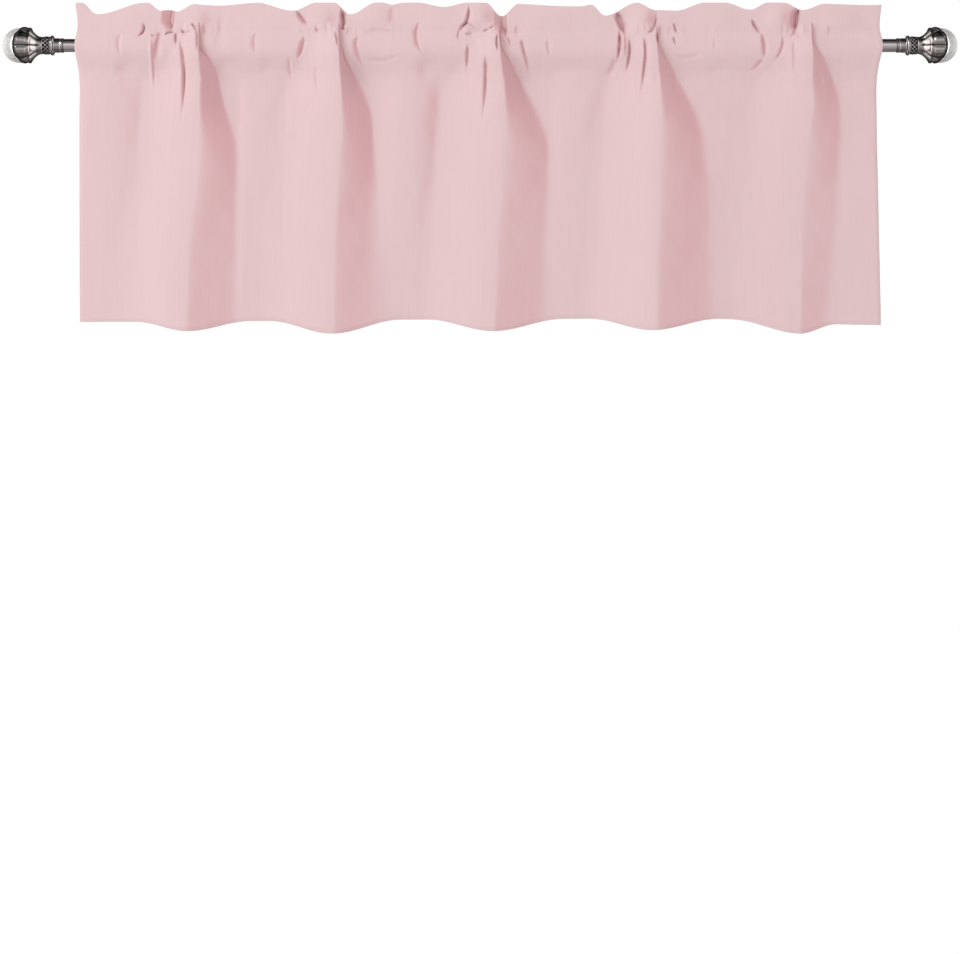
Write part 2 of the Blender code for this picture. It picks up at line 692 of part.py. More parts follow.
def build():
    """The valance, its rod, and a finial of three pieces at each end."""
    clear_scene()
    add_piece("valance_cloth", cloth_mesh(), CLOTH_FINISH)
    add_piece("curtain_rod", rod_mesh(), METAL_FINISH)
    for side_name, side in (("left", -1), ("right", 1)):
        neck_x = ROD_HALF_LENGTH + PIECE_GAP
        cup_x = neck_x + NECK_LENGTH + PIECE_GAP
        turned = side < 0
        add_piece(f"finial_neck_{side_name}", neck_mesh(), METAL_FINISH,
                  (side * neck_x, 0, 0), turned)
        add_piece(f"finial_cup_{side_name}", cup_mesh(), METAL_FINISH,
                  (side * cup_x, 0, 0), turned)
        add_piece(f"glass_ball_{side_name}", ball_mesh(), GLASS_FINISH,
                  (side * (cup_x + BALL_CENTRE), 0, 0), turned)


build()
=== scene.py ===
"""Looks of a gathered rod-pocket valance on its curtain rod.

Metres, +Z up, +X along the rod, the room side faces -Y. Laid out as a Blender
add-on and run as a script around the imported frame.
"""
import math

import bmesh
import bpy
import numpy as np
from bpy.props import FloatProperty, FloatVectorProperty, IntProperty, PointerProperty
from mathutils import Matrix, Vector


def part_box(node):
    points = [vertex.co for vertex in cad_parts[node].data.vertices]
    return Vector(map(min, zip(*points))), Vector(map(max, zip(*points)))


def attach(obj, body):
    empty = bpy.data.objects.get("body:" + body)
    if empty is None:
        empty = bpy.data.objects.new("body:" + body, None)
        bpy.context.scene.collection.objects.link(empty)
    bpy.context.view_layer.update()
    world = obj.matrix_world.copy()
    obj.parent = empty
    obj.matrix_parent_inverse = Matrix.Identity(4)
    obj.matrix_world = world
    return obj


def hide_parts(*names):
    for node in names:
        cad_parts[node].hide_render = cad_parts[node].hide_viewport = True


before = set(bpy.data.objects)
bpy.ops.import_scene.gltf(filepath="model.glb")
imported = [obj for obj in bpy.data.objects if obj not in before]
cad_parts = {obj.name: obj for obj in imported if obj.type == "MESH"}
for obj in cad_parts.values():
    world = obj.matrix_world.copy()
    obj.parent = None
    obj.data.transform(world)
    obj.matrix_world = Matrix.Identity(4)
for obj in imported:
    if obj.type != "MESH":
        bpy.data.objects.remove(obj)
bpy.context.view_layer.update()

bl_info = {
    "name": "Gathered rod-pocket valance",
    "version": (1, 0, 0),
    "blender": (4, 5, 0),
    "location": "View3D > Sidebar > Valance",
    "description": "Dresses a gathered valance, its rod and its ball finials",
    "category": "Add Mesh",
}

# ------------------------------------------------------- fixed by the frame
ROD_LOW, ROD_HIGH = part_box("curtain_rod")
ROD_RADIUS = (ROD_HIGH.z - ROD_LOW.z) / 2
NECK_LOW, NECK_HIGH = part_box("finial_neck_right")
CUP_LOW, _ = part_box("finial_cup_right")
BALL_LOW, BALL_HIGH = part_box("glass_ball_right")
BALL_RADIUS = (BALL_HIGH.z - BALL_LOW.z) / 2
BALL_CENTRE = (BALL_HIGH.x + BALL_LOW.x) / 2 - CUP_LOW.x

# ------------------------------------------------------- the rod and finials
SLEEVE_RADIUS = 0.0104
SLEEVE_LENGTH = 0.0135
SLEEVE_EASE = 0.0007        # rounding of its open end
# A ring scribed round the sleeve: (share of its length, depth).
SCRIBED_RING = (
    (0.30, 0.0),
    (0.34, 0.0005),
    (0.40, 0.0005),
    (0.44, 0.0),
)
# Where the sleeve runs up to the flange: (how far before it, rise).
FLANGE_FOOT = (
    (0.0012, 0.0),
    (0.0004, 0.0004),
    (0.0, 0.0010),
)
FLANGE_RADIUS = 0.0145
FLANGE_WIDTH = 0.0050
BAND_RADIUS = 0.0132
BAND_SHOULDER = 0.0012      # step down from the flange to the band
BAND_START = 0.0004         # bare strip before the band's first ring
BAND_END = 0.0006           # and after its last
BAND_CROWN = 0.0006         # how far the band's middle stands out from its ends
BAND_RINGS = 27
LATTICE_AROUND = 13         # diamonds around the band
LATTICE_LENGTH = 0.0056     # one diamond along the band
LATTICE_GROOVE = 0.0012
LATTICE_START = (0.0003, 0.0010)    # places on the band between which the grooves deepen
LATTICE_HALF_WIDTH = 0.26   # of a groove, as a share of a diamond
CUP_PETALS = 8
CUP_WALL = 0.0010
CUP_BASE_RADIUS = 0.0125
CUP_BASE_STEP = 0.0006      # how much narrower the neck ends than the cup begins
CUP_MOUTH_RADIUS = 0.0243
CUP_SHORT_REACH = 0.0172    # base to rim at the top and bottom tips
CUP_LONG_REACH = 0.0400     # base to rim at the front and back petals
CUP_FLARE = 2.1             # how late the bell opens: 1 is a plain cone
PETAL_GROOVE = 0.0024
PETAL_BULGE = 0.0018        # how far a petal's middle stands out from the bowl
PETAL_FULLNESS = 0.7        # below 1 the bulge is broad
GROOVE_SHARPNESS = 0.55     # below 1 the groove is narrow
GROOVE_START = (0.0005, 0.009)      # places from the base between which a groove deepens
RIM_BEAD = 0.0013           # radius of the rolled rim
RIM_NECKING = 0.0010        # the groove just inside it
NECKING_PLACE = 3.0         # its middle behind the rim's edge, in bead radii
NECKING_FALL = 1.4
BEAD_SEAT = 0.0005          # least metal between the outside and the ball
# Where the patina is left: shares of a petal from its groove, places from the
# base, and bead radii from the rim, each from full to none or none to full.
PATINA_BESIDE_GROOVE = (0.06, 0.34)
PATINA_FROM_BASE = (0.002, 0.006)
PATINA_UNDER_RIM = (2.4, 3.3)
WORN_RIM = 0.8              # bead radii of bright metal at the rim's edge
BOWL_FLOOR_TURN = 0.25      # how near the rod's axis the inner bowl is drawn, in radians
BALL_GAP = 0.0005
BALL_INNER = 0.93           # the ball is a little flat towards the cup's base
GLARE_WIDTH = 0.0024        # of a white highlight painted on the glass along the cup's rim
PLAIN_METAL = 0.5           # of the patina: 0 is worn bright, 1 is black
NECK_SIDES = 176
CUP_ROWS, CUP_SIDES = 56, 192
CUP_LIP = (0.78, 0.80)      # shares of the reach where the bowl's rings end and the lip's start
BALL_ROWS, BALL_SIDES = 90, 96

# ---------------------------------------------------------- the cloth's form
HEADER_TOP = 0.0600         # heights are measured from the rod's axis
UPPER_STITCH = 0.0220       # seam between the header and the rod pocket
LOWER_STITCH = -0.0480      # seam between the rod pocket and the drop
HEM_LEVEL = -0.3930
ROD_CLEARANCE = 0.0022      # cloth to rod, where a fold sinks back to it
DEEPEST_FOLD = 0.0200       # how far back a fold may sink where no rod stops it
CREST_ROUND = 0.05          # how round a bunch's crest is, as a share of its steep side's width
PAST_FOOT = 3.0             # in such widths, where a steep side has long ended
CROWN_TURN = 0.40           # share of a bunch's slow side that bends at its top and foot
BUNCH_FINENESS = 4.2        # how much closer the columns stand in a bunch
BUNCH_REACH = 0.046         # half the width of that finer stretch
FINE_SHIFT = 0.010          # how far it stands to the left of a crest
CREASE_REACH = 0.008        # half the width of the one around each crease elsewhere
PLACE_SAMPLES = 4001        # samples of the column spacing
NORMAL_STEP = 0.0003        # step along the cloth to find which way it faces

DROP_ROWS = 44              # rows of the cloth's mesh, from the hem to the lower seam
POCKET_ROWS = 34            # between the seams
BACK_ROWS = 12              # and in the pocket's back layer
HEADER_ROWS = 19            # in each layer of the header
HEM_TURN = 0.022            # cloth turned up behind the hem
SIDE_TURN = 0.014           # cloth turned back at each side
TURN_STEPS = 3
SIDE_FOLD = 3.0             # a side's fold stands out by the layer's thickness over this
BACK_EDGE = 0.004           # of the pocket's back layer, below the lower seam
SEAM_CLOSE = 0.004          # from a seam to where the layers part
SEAM_PRESS = 0.6            # how far a seam draws its layers together, in layers

# How a bunch changes down the cloth, one row for each height: how far its
# crest stands forward, how wide its slow side is (rise), how much its steep side
# swells before its foot (1 is straight), how rounded the foot is as a share of its
# depth (corner), and how far it overhangs to +X for each metre forward.
SECTION_COLUMNS = ("height", "crest", "rise", "swell", "corner", "lean")
SECTIONS = (
    (-0.4000, 0.0220, 0.118, 1.00, 0.24, 0.00),
    (-0.2500, 0.0205, 0.112, 1.12, 0.20, 0.00),
    (-0.1490, 0.0200, 0.104, 1.32, 0.13, 0.05),
    (-0.1070, 0.0215, 0.096, 1.22, 0.09, 0.14),
    (-0.0780, 0.0235, 0.086, 1.08, 0.07, 0.28),
    (-0.0480, 0.0210, 0.070, 1.00, 0.07, 0.42),
    (-0.0210, 0.0155, 0.050, 1.00, 0.07, 0.50),
    (0.0000, 0.0095, 0.038, 1.00, 0.07, 0.50),
    (0.0220, 0.0055, 0.032, 1.00, 0.07, 0.30),
    (0.0340, 0.0000, 0.032, 1.00, 0.07, 0.00),
    (0.0590, 0.0000, 0.032, 1.00, 0.07, 0.00),
)
# The five bunches, left to right: factors on the crest at the rod pocket and at
# the hem, and on the rise: (name, depth_top, depth_hem, rise).
BUNCHES = (
    ("first", 1.00, 0.95, 0.95),
    ("second", 1.08, 1.00, 1.00),
    ("third", 1.02, 1.04, 1.00),
    ("fourth", 0.95, 1.10, 0.95),
    ("fifth", 0.82, 0.52, 1.00),
)
# Where each bunch's crest stands along the rod, down the cloth.
PLACE_COLUMNS = ("height", "first", "second", "third", "fourth", "fifth")
CREST_PLACES = (
    (-0.4000, -0.4190, -0.2085, 0.0190, 0.2490, 0.4560),
    (-0.2500, -0.4110, -0.2070, 0.0250, 0.2500, 0.4580),
    (-0.1490, -0.3985, -0.2000, 0.0325, 0.2535, 0.4640),
    (-0.1070, -0.3985, -0.1968, 0.0365, 0.2550, 0.4700),
    (-0.0750, -0.3985, -0.1970, 0.0350, 0.2555, 0.4735),
    (-0.0480, -0.3985, -0.1986, 0.0327, 0.2547, 0.4730),
    (-0.0165, -0.3995, -0.2000, 0.0295, 0.2522, 0.4722),
    (0.0220, -0.4005, -0.2015, 0.0262, 0.2508, 0.4715),
)
# Where its steep side ends. It is next to the crest above the rod and runs away
# from it in a wedge below.
FOOT_PLACES = (
    (-0.4000, -0.3480, -0.1310, 0.0960, 0.3270, 0.4960),
    (-0.3640, -0.3475, -0.1340, 0.0965, 0.3260, 0.4975),
    (-0.2500, -0.3450, -0.1450, 0.1010, 0.3220, 0.5085),
    (-0.2000, -0.3465, -0.1480, 0.1000, 0.3205, 0.5105),
    (-0.1490, -0.3490, -0.1530, 0.0960, 0.3165, 0.5120),
    (-0.1250, -0.3550, -0.1555, 0.0900, 0.3125, 0.5130),
    (-0.1000, -0.3640, -0.1580, 0.0805, 0.3050, 0.5133),
    (-0.0750, -0.3710, -0.1659, 0.0670, 0.2940, 0.5108),
    (-0.0480, -0.3768, -0.1795, 0.0536, 0.2796, 0.5020),
    (-0.0322, -0.3810, -0.1873, 0.0460, 0.2720, 0.4955),
    (-0.0165, -0.3885, -0.1940, 0.0379, 0.2630, 0.4883),
    (-0.0064, -0.3985, -0.1968, 0.0312, 0.2575, 0.4800),
    (0.0036, -0.3990, -0.1990, 0.0282, 0.2525, 0.4738),
    (0.0220, -0.3993, -0.2003, 0.0274, 0.2520, 0.4727),
)
# Shallow rolls in the flat stretches between the bunches:
# (top_x, hem_x, forward_top, forward_hem, rise, fall).
ROLLS = (
    (-0.560, -0.570, 0.0085, 0.0006, 0.030, 0.072),
    (-0.331, -0.337, 0.0045, 0.0010, 0.016, 0.050),
    (-0.108, -0.126, 0.0095, 0.0008, 0.044, 0.048),
    (0.128, 0.114, 0.0052, 0.0012, 0.030, 0.048),
    (0.262, 0.262, 0.0080, 0.0045, 0.060, 0.122),
)
ROLL_SWELL = 2.2            # a roll's right side, as a bunch's swell
ROLL_CORNER = 0.07          # and its foot, as a bunch's corner
ROLLS_FULL = 0.10           # how far below the rod's axis the rolls are full
# Lines of the gathering, each a bowed line through three points (x, height), how
# far the cloth sinks back (a ridge where it is negative), and the half width on
# the line's left and right: (x0, z0, x1, z1, x2, z2, back, left, right).
CREASES = (
    # first bunch
    (-0.511, 0.018, -0.514, 0.001, -0.510, -0.020, 0.0015, 0.009, 0.005),
    (-0.480, 0.032, -0.479, 0.020, -0.490, 0.010, 0.0046, 0.004, 0.003),
    (-0.452, 0.019, -0.459, 0.001, -0.461, -0.028, 0.0040, 0.006, 0.009),
    (-0.433, 0.018, -0.433, 0.009, -0.432, -0.002, 0.0038, 0.003, 0.003),
    (-0.428, 0.010, -0.4200, -0.040, -0.4250, -0.114, 0.0050, 0.008, 0.004),
    (-0.449, 0.013, -0.442, 0.018, -0.432, 0.016, 0.0042, 0.003, 0.003),
    (-0.426, 0.023, -0.419, 0.017, -0.411, 0.022, 0.0036, 0.003, 0.003),
    (-0.412, 0.031, -0.406, 0.026, -0.402, 0.018, 0.0042, 0.003, 0.003),
    (-0.404, 0.022, -0.4015, 0.008, -0.402, -0.012, 0.0030, 0.003, 0.004),
    (-0.470, 0.016, -0.462, 0.013, -0.454, 0.016, 0.0026, 0.003, 0.003),
    (-0.469, 0.014, -0.469, -0.022, -0.469, -0.066, -0.0022, 0.004, 0.004),
    (-0.4345, 0.062, -0.4365, 0.038, -0.440, 0.017, 0.0122, 0.018, 0.0018),
    (-0.366, 0.046, -0.370, 0.016, -0.376, -0.020, 0.0014, 0.010, 0.010),
    # second bunch
    (-0.262, 0.050, -0.252, 0.037, -0.244, 0.026, 0.0046, 0.008, 0.005),
    (-0.250, 0.014, -0.253, -0.006, -0.262, -0.022, 0.0034, 0.009, 0.004),
    (-0.234, 0.025, -0.231, 0.020, -0.227, 0.019, 0.0018, 0.003, 0.003),
    (-0.1975, 0.052, -0.1955, 0.036, -0.194, 0.019, 0.0105, 0.004, 0.008),
    (-0.200, 0.027, -0.195, 0.023, -0.189, 0.021, 0.0036, 0.003, 0.004),
    (-0.205, 0.020, -0.203, 0.008, -0.200, -0.006, 0.0034, 0.003, 0.003),
    (-0.171, 0.013, -0.175, -0.006, -0.160, -0.040, 0.0027, 0.009, 0.005),
    (-0.171, 0.013, -0.140, 0.020, -0.108, 0.006, 0.0012, 0.005, 0.006),
    (-0.166, -0.018, -0.136, -0.022, -0.106, -0.010, 0.0014, 0.005, 0.007),
    (-0.236, -0.030, -0.234, -0.044, -0.231, -0.062, 0.0018, 0.006, 0.006),
    (-0.272, -0.016, -0.271, -0.032, -0.269, -0.048, 0.0014, 0.008, 0.006),
    (-0.318, 0.018, -0.321, 0.003, -0.318, -0.014, 0.0018, 0.009, 0.004),
    (-0.085, 0.034, -0.090, 0.009, -0.078, -0.016, 0.0028, 0.008, 0.004),
    (-0.124, 0.056, -0.125, 0.044, -0.126, 0.030, 0.0012, 0.006, 0.009),
    # third bunch
    (-0.016, 0.056, -0.018, 0.036, -0.030, 0.018, 0.0050, 0.005, 0.007),
    (-0.030, 0.021, -0.031, 0.014, -0.030, 0.007, 0.0022, 0.003, 0.003),
    (-0.031, 0.018, -0.018, 0.031, -0.004, 0.018, 0.0034, 0.003, 0.004),
    (-0.022, 0.018, -0.014, 0.016, -0.006, 0.020, 0.0028, 0.003, 0.003),
    (0.003, 0.019, 0.013, 0.023, 0.025, 0.030, 0.0030, 0.003, 0.003),
    (0.0360, 0.058, 0.0370, 0.034, 0.0385, 0.008, 0.0123, 0.017, 0.0018),
    (0.030, 0.013, 0.037, 0.009, 0.041, -0.004, -0.0034, 0.004, 0.004),
    (0.025, 0.016, 0.024, 0.003, 0.026, -0.012, 0.0046, 0.003, 0.003),
    (-0.017, 0.002, -0.018, -0.018, -0.018, -0.038, 0.0034, 0.004, 0.006),
    (0.007, -0.012, 0.009, -0.050, 0.003, -0.112, 0.0044, 0.008, 0.004),
    (0.058, 0.008, 0.063, -0.010, 0.074, -0.052, 0.0034, 0.004, 0.010),
    (0.096, 0.010, 0.097, -0.003, 0.100, -0.018, 0.0012, 0.004, 0.006),
    # fourth bunch
    (0.194, 0.050, 0.201, 0.032, 0.208, 0.013, 0.0125, 0.007, 0.008),
    (0.198, 0.020, 0.199, 0.000, 0.195, -0.025, 0.0062, 0.004, 0.004),
    (0.196, -0.018, 0.190, -0.032, 0.180, -0.048, 0.0020, 0.008, 0.008),
    (0.204, 0.018, 0.204, 0.000, 0.204, -0.022, -0.0022, 0.003, 0.004),
    (0.212, 0.010, 0.213, -0.014, 0.207, -0.044, 0.0044, 0.004, 0.006),
    (0.232, 0.012, 0.235, -0.020, 0.226, -0.084, 0.0046, 0.004, 0.007),
    (0.236, 0.017, 0.248, 0.025, 0.251, 0.048, 0.0036, 0.005, 0.005),
    (0.252, 0.018, 0.252, 0.010, 0.253, -0.001, 0.0030, 0.003, 0.003),
    (0.276, 0.032, 0.278, 0.024, 0.282, 0.015, 0.0032, 0.003, 0.004),
    (0.276, 0.012, 0.277, 0.006, 0.281, -0.003, 0.0026, 0.003, 0.004),
    (0.274, -0.011, 0.300, -0.018, 0.318, -0.003, 0.0015, 0.005, 0.005),
    (0.334, 0.012, 0.334, 0.001, 0.334, -0.009, 0.0008, 0.004, 0.006),
    # fifth bunch
    (0.387, 0.038, 0.393, 0.025, 0.402, 0.016, 0.0042, 0.004, 0.007),
    (0.401, 0.018, 0.406, -0.001, 0.404, -0.022, 0.0034, 0.008, 0.004),
    (0.404, -0.018, 0.398, -0.027, 0.386, -0.037, 0.0024, 0.007, 0.007),
    (0.430, 0.014, 0.430, -0.006, 0.415, -0.030, 0.0024, 0.005, 0.005),
    (0.4560, 0.056, 0.4535, 0.036, 0.4480, 0.014, 0.0115, 0.013, 0.0022),
    (0.441, 0.009, 0.449, 0.016, 0.458, 0.005, 0.0022, 0.003, 0.003),
    (0.446, 0.008, 0.447, -0.018, 0.449, -0.046, 0.0018, 0.005, 0.005),
)
WIDE_CREASE = 0.0145        # wider than this a line is a rounded trough, else a sharp crease
SHARP_GAIN = 1.35           # how much deeper a sharp crease is drawn in
LINE_STEPS = 11             # straight steps along a bowed line
CREASE_START = (-0.05, 0.30)        # shares of its length over which a crease deepens
CREASE_END = (-0.02, 0.40)          # and fades again, counted from its end
CREASE_TIP = 0.25           # how wide a crease's ends are, as a share of its middle
RECESS_DEPTH = 0.0100       # deeper than this it is a recess with nearly straight sides
RECESS_CURVE = 1.15         # 1 is quite straight
# Round puffs of the header, and dimples (negative) below the rod:
# (x, height, half_width, half_height, forward).
PUFFS = (
    (-0.499, 0.036, 0.034, 0.026, 0.0018),
    (-0.407, 0.036, 0.028, 0.026, 0.0035),
    (-0.227, 0.038, 0.030, 0.028, 0.0045),
    (-0.145, 0.040, 0.040, 0.026, 0.0030),
    (-0.002, 0.040, 0.028, 0.026, 0.0050),
    (0.100, 0.040, 0.055, 0.028, 0.0025),
    (0.231, 0.034, 0.024, 0.028, 0.0065),
    (0.335, 0.040, 0.040, 0.026, 0.0030),
    (0.425, 0.038, 0.026, 0.028, 0.0055),
    (0.515, 0.036, 0.040, 0.026, 0.0030),
    (-0.505, -0.030, 0.022, 0.020, -0.0024),
    (-0.364, -0.028, 0.020, 0.020, -0.0018),
    (-0.300, -0.030, 0.018, 0.018, -0.0016),
    (-0.071, -0.030, 0.026, 0.022, -0.0024),
    (0.130, -0.032, 0.034, 0.016, -0.0014),
    (0.341, -0.034, 0.024, 0.014, -0.0018),
    (0.560, -0.026, 0.024, 0.020, -0.0014),
)
# Dips of the header's top edge below HEADER_TOP: (x, depth, left, right).
HEADER_DIPS = (
    (-0.5455, 0.0165, 0.018, 0.070),
    (-0.4550, 0.0115, 0.019, 0.020),
    (-0.4320, 0.0125, 0.022, 0.026),
    (-0.3720, 0.0042, 0.070, 0.060),
    (-0.2665, 0.0115, 0.054, 0.034),
    (-0.1845, 0.0165, 0.024, 0.037),
    (-0.1250, 0.0030, 0.014, 0.016),
    (-0.0520, 0.0060, 0.038, 0.036),
    (0.0305, 0.0185, 0.023, 0.025),
    (0.1400, 0.0054, 0.135, 0.036),
    (0.1780, 0.0185, 0.021, 0.047),
    (0.2500, 0.0105, 0.027, 0.027),
    (0.2780, 0.0115, 0.029, 0.044),
    (0.3845, 0.0100, 0.036, 0.026),
    (0.4600, 0.0098, 0.028, 0.032),
    (0.5600, 0.0034, 0.130, 0.050),
)
# The hem's height where no bunch pulls it down, relative to HEM_LEVEL.
HEM_COLUMNS = ("x", "offset")
HEM_RUN = (
    (-0.572, -0.0025),
    (-0.322, -0.0010),
    (-0.100, 0.0010),
    (0.115, 0.0020),
    (0.318, 0.0030),
    (0.520, -0.0060),
    (0.572, -0.0070),
)
# The hem's dips under the bunches: (x, depth, left, right).
HEM_DIPS = (
    (-0.414, 0.0125, 0.076, 0.086),
    (-0.208, 0.0175, 0.095, 0.094),
    (0.020, 0.0155, 0.095, 0.100),
    (0.245, 0.0155, 0.090, 0.100),
    (0.454, 0.0150, 0.095, 0.058),
)
# The cloth round and above the rod: how far its front layer stands forward of the
# rod's axis, and how far its back layer stands behind it.
POCKET_COLUMNS = ("height", "front", "back")
POCKET_PROFILE = (
    (-0.0480, 0.0000, 0.0000),
    (-0.0380, 0.0026, 0.0040),
    (-0.0260, 0.0080, 0.0096),
    (-0.0160, 0.0128, 0.0130),
    (-0.0060, 0.0155, 0.0142),
    (0.0030, 0.0158, 0.0138),
    (0.0100, 0.0150, 0.0100),
    (0.0160, 0.0140, 0.0015),
    (0.0220, 0.0130, -0.0130),
    (0.0340, 0.0126, -0.0126),
    (0.0600, 0.0116, -0.0116),
)
# How far the side edges wander outwards.
EDGE_COLUMNS = ("height", "left", "right")
EDGE_RUN = (
    (-0.3900, 0.000, 0.001),
    (-0.2000, 0.000, -0.003),
    (-0.1000, 0.000, -0.005),
    (-0.0520, 0.000, -0.005),
    (-0.0280, 0.002, -0.003),
    (0.0000, 0.005, 0.001),
    (0.0270, 0.001, -0.003),
    (0.0590, 0.004, 0.000),
)
EDGE_REACH = 0.050          # how far in from the side the wander is felt
# How far each stitched seam is drawn in, and how much it puckers in a bunch:
# (height, groove, pucker).
SEAMS = (
    (UPPER_STITCH, 0.00010, 1.5),
    (LOWER_STITCH, 0.00030, 0.4),
)
SEAM_HALF_WIDTH = 0.0045
PUCKER_EVEN = 0.25          # the puckering outside the bunches
PUCKER_DRIFT = 20           # shift of the puckers' phase, for each metre of height
PUCKERED_LEFT, PUCKERED_RIGHT = 0.075, 0.050    # how far a bunch's puckers run
# Fine puckers along the seams: (wavelength, height of the ripple, phase).
PUCKERS = (
    (0.0073, 0.00020, 0.4),
    (0.0114, 0.00028, 2.1),
    (0.0171, 0.00030, 4.4),
    (0.0298, 0.00036, 1.2),
)
PUCKER_REACH = 0.012        # how far from a seam they run out
# Soft unevenness of the cloth: (wavelength along, wavelength down, height, phase).
WRINKLES = (
    (0.083, 0.061, 0.00020, 0.7),
    (0.047, -0.094, 0.00014, 2.9),
    (0.029, 0.052, 0.00010, 4.6),
    (0.137, -0.170, 0.00032, 1.8),
)
WRINKLE_DRIFT = 0.9         # how far a wave's crests wander, in radians
WRINKLE_DRIFT_LENGTH = 3.7  # over how many of its wavelengths
WRINKLE_CALM = 0.6          # share of the unevenness that is gone at the hem
STITCH_PITCH = 0.0034
STITCH_LENGTH = 0.0024
STITCH_RINGS, STITCH_SIDES = 5, 6
STITCH_ARCH = 1.2           # how far a stitch's middle stands up, in thread radii
STITCH_TIP = 0.35           # a stitch's ends, as a share of its middle
THREAD_RADIUS = 0.00020
# Where shade is painted into the cloth's colour: how far its face turns to +X, away from the key
# light, and how far it lies behind the cloth around it, each from none to full.
SIDEWAYS = (0.04, 0.46)
SUNK = (0.0008, 0.0046)
LEVEL_STEP = 0.001          # samples of the cloth around a point
LEVEL_REACH = 20            # steps to each side
LEVEL_SPREAD = 8.0          # steps that weigh most

# ------------------------------------------------------------------ finishes
THREAD_SPACING = 0.0012     # real threads lie 0.3 mm apart, too fine to show
SLUB_WIDTH = 0.0035         # a thick place in the warp, across
SLUB_LENGTH = 0.120
SLUB_HEIGHT = 3.0           # against a thread's
SLUB_TINT = 0.015           # how much lighter or darker it takes the dye
# Painted shade: the dye is darkened to a deeper pink on the steep sides and in the creases,
# standing in for shade and for light bounced between a fold's sides. The share kept on the open
# face, on a steep side and in a crease: (painted shade, red, green, blue).
PAINTED_FOLD_SHADES = (
    (0.0, 1.00, 1.00, 1.00),
    (0.5, 0.97, 0.785, 0.80),
    (1.0, 0.78, 0.56, 0.58),
)
WEAR_SIZE = 1 / 90          # one cloud of wear on the plating, 11 mm
GROOVE_SHADE = 0.04         # how dark the patina leaves a groove
CRACKLE_SIZE = 0.0062       # from one crack of the glass to the next
MILK_SIZE = 1 / 160         # one cloud of the glass's milk, 6 mm
CRACK_SHADE = 0.60          # how dark the glass's cracks are
THIN_MILK = 0.78            # and where its milk is thin

# ------------------------------------------------------------ light and camera
PICTURE_WIDTH, PICTURE_HEIGHT = 960, 954
ROD_ROW = 45.5              # picture row of the rod's axis
VALANCE_MIDDLE_ROW = 165.0  # picture row halfway down the valance
SENSOR_WIDTH = 36.0         # millimetres
CAMERA_REACH = 60.0         # how far the camera sees
PAPER_GLOW = 0.03           # the studio paper is lit through from behind, to a full white
AIR_GLOW = 0.90             # what lights the cloth from all round
# What polished metal mirrors of the room: the glow at each height of the view,
# as the sine of its angle up. Bright walls, a dark ceiling and a dark skirting:
# (sine, glow).
ROOM_GLOW = (
    (-1.00, 0.45),
    (-0.95, 0.40),
    (-0.925, 0.03),
    (-0.885, 0.03),
    (-0.85, 0.60),
    (-0.50, 0.75),
    (-0.12, 0.95),
    (-0.02, 1.60),
    (0.20, 1.60),
    (0.40, 0.85),
    (0.75, 0.45),
    (0.90, 0.08),
    (1.00, 0.02),
)
# Windows at both ends of the room, by the sideways part of the view.
WINDOW_START = 0.66
WINDOW_FULL = 0.84
WINDOW_GLOW = 2.2
# The key light, high on the left of the camera and aimed at the rod's middle.
KEY_PLACE = (-4.2, -3.2, 2.8)
KEY_SIZE = 1.8
KEY_POWER = 140.0
FLOOR_REACH = 8.0           # from its middle to the wall's face
FLOOR_BEND = 2.0            # radius of the curve up into the wall
FLOOR_MIDDLE = 0.02         # radius of the round face that closes the middle
WALL_HEIGHT = 6.0
FLOOR_SIDES, BEND_STEPS = 96, 12


# ------------------------------------------------------------ number helpers
def smooth_interp(at, knots, values):
    """Values between the knots on a smooth curve that runs through them all."""
    slopes = np.gradient(values, knots)
    at = np.clip(at, knots[0], knots[-1])
    cell = np.clip(np.searchsorted(knots, at, side="right") - 1, 0, len(knots) - 2)
    span = knots[cell + 1] - knots[cell]
    t = (at - knots[cell]) / span
    start, end = values[cell], values[cell + 1]
    curve = (2 * t**3 - 3 * t**2 + 1) * start + (3 * t**2 - 2 * t**3) * end
    return curve + span * ((t**3 - 2 * t**2 + t) * slopes[cell] + (t**3 - t**2) * slopes[cell + 1])


def from_table(table, names, name, at):
    """A named column at any place of the table's first, on a smooth curve."""
    knots, values = (np.array([row[names.index(key)] for row in table])
                     for key in (names[0], name))
    return smooth_interp(at, knots, values)


def bump(offset, rise, fall):
    """A rounded hump: 1 at offset 0, and 0 past -rise and +fall."""
    reach = np.where(offset < 0, -offset / rise, offset / fall)
    return 0.5 + 0.5 * np.cos(np.pi * np.clip(reach, 0, 1))


def ramp(value, start, end):
    """0 before start, 1 after end, and a soft change between them."""
    t = np.clip((value - start) / (end - start), 0, 1)
    return t * t * (3 - 2 * t)


def soft_fall(share, turn):
    """Falls from 1 to 0 as share goes from 0 to 1: straight, but bent over a turn at each end."""
    t = np.clip(share, 0, 1)
    near = t**2 / (2 * turn)
    far = 1 - turn - (1 - t)**2 / (2 * turn)
    gone = np.where(t < turn, near, np.where(t > 1 - turn, far, t - turn / 2))
    return 1 - gone / (1 - turn)


def srgb(hex_code):
    """An sRGB hex colour as linear red, green and blue."""
    channels = [int(hex_code[i:i + 2], 16) / 255 for i in (0, 2, 4)]
    return tuple(c / 12.92 if c <= 0.04045 else ((c + 0.055) / 1.055) ** 2.4 for c in channels)


# ------------------------------------------------------------------ settings
class ValanceCloth(bpy.types.PropertyGroup):
    """Sizes and colour of the cloth."""
    width: FloatProperty(
        name="Gathered width", description="Edge to edge along the rod",
        default=1.144, unit="LENGTH")
    layer: FloatProperty(
        name="Layer thickness", description="One layer of cloth",
        default=0.0010, unit="LENGTH")
    columns: IntProperty(
        name="Columns", description="Corners across the cloth", default=700, min=20)
    colour: FloatVectorProperty(
        name="Cloth colour", description="Dusty pink dye", subtype="COLOR",
        default=srgb("D0B4B6"))


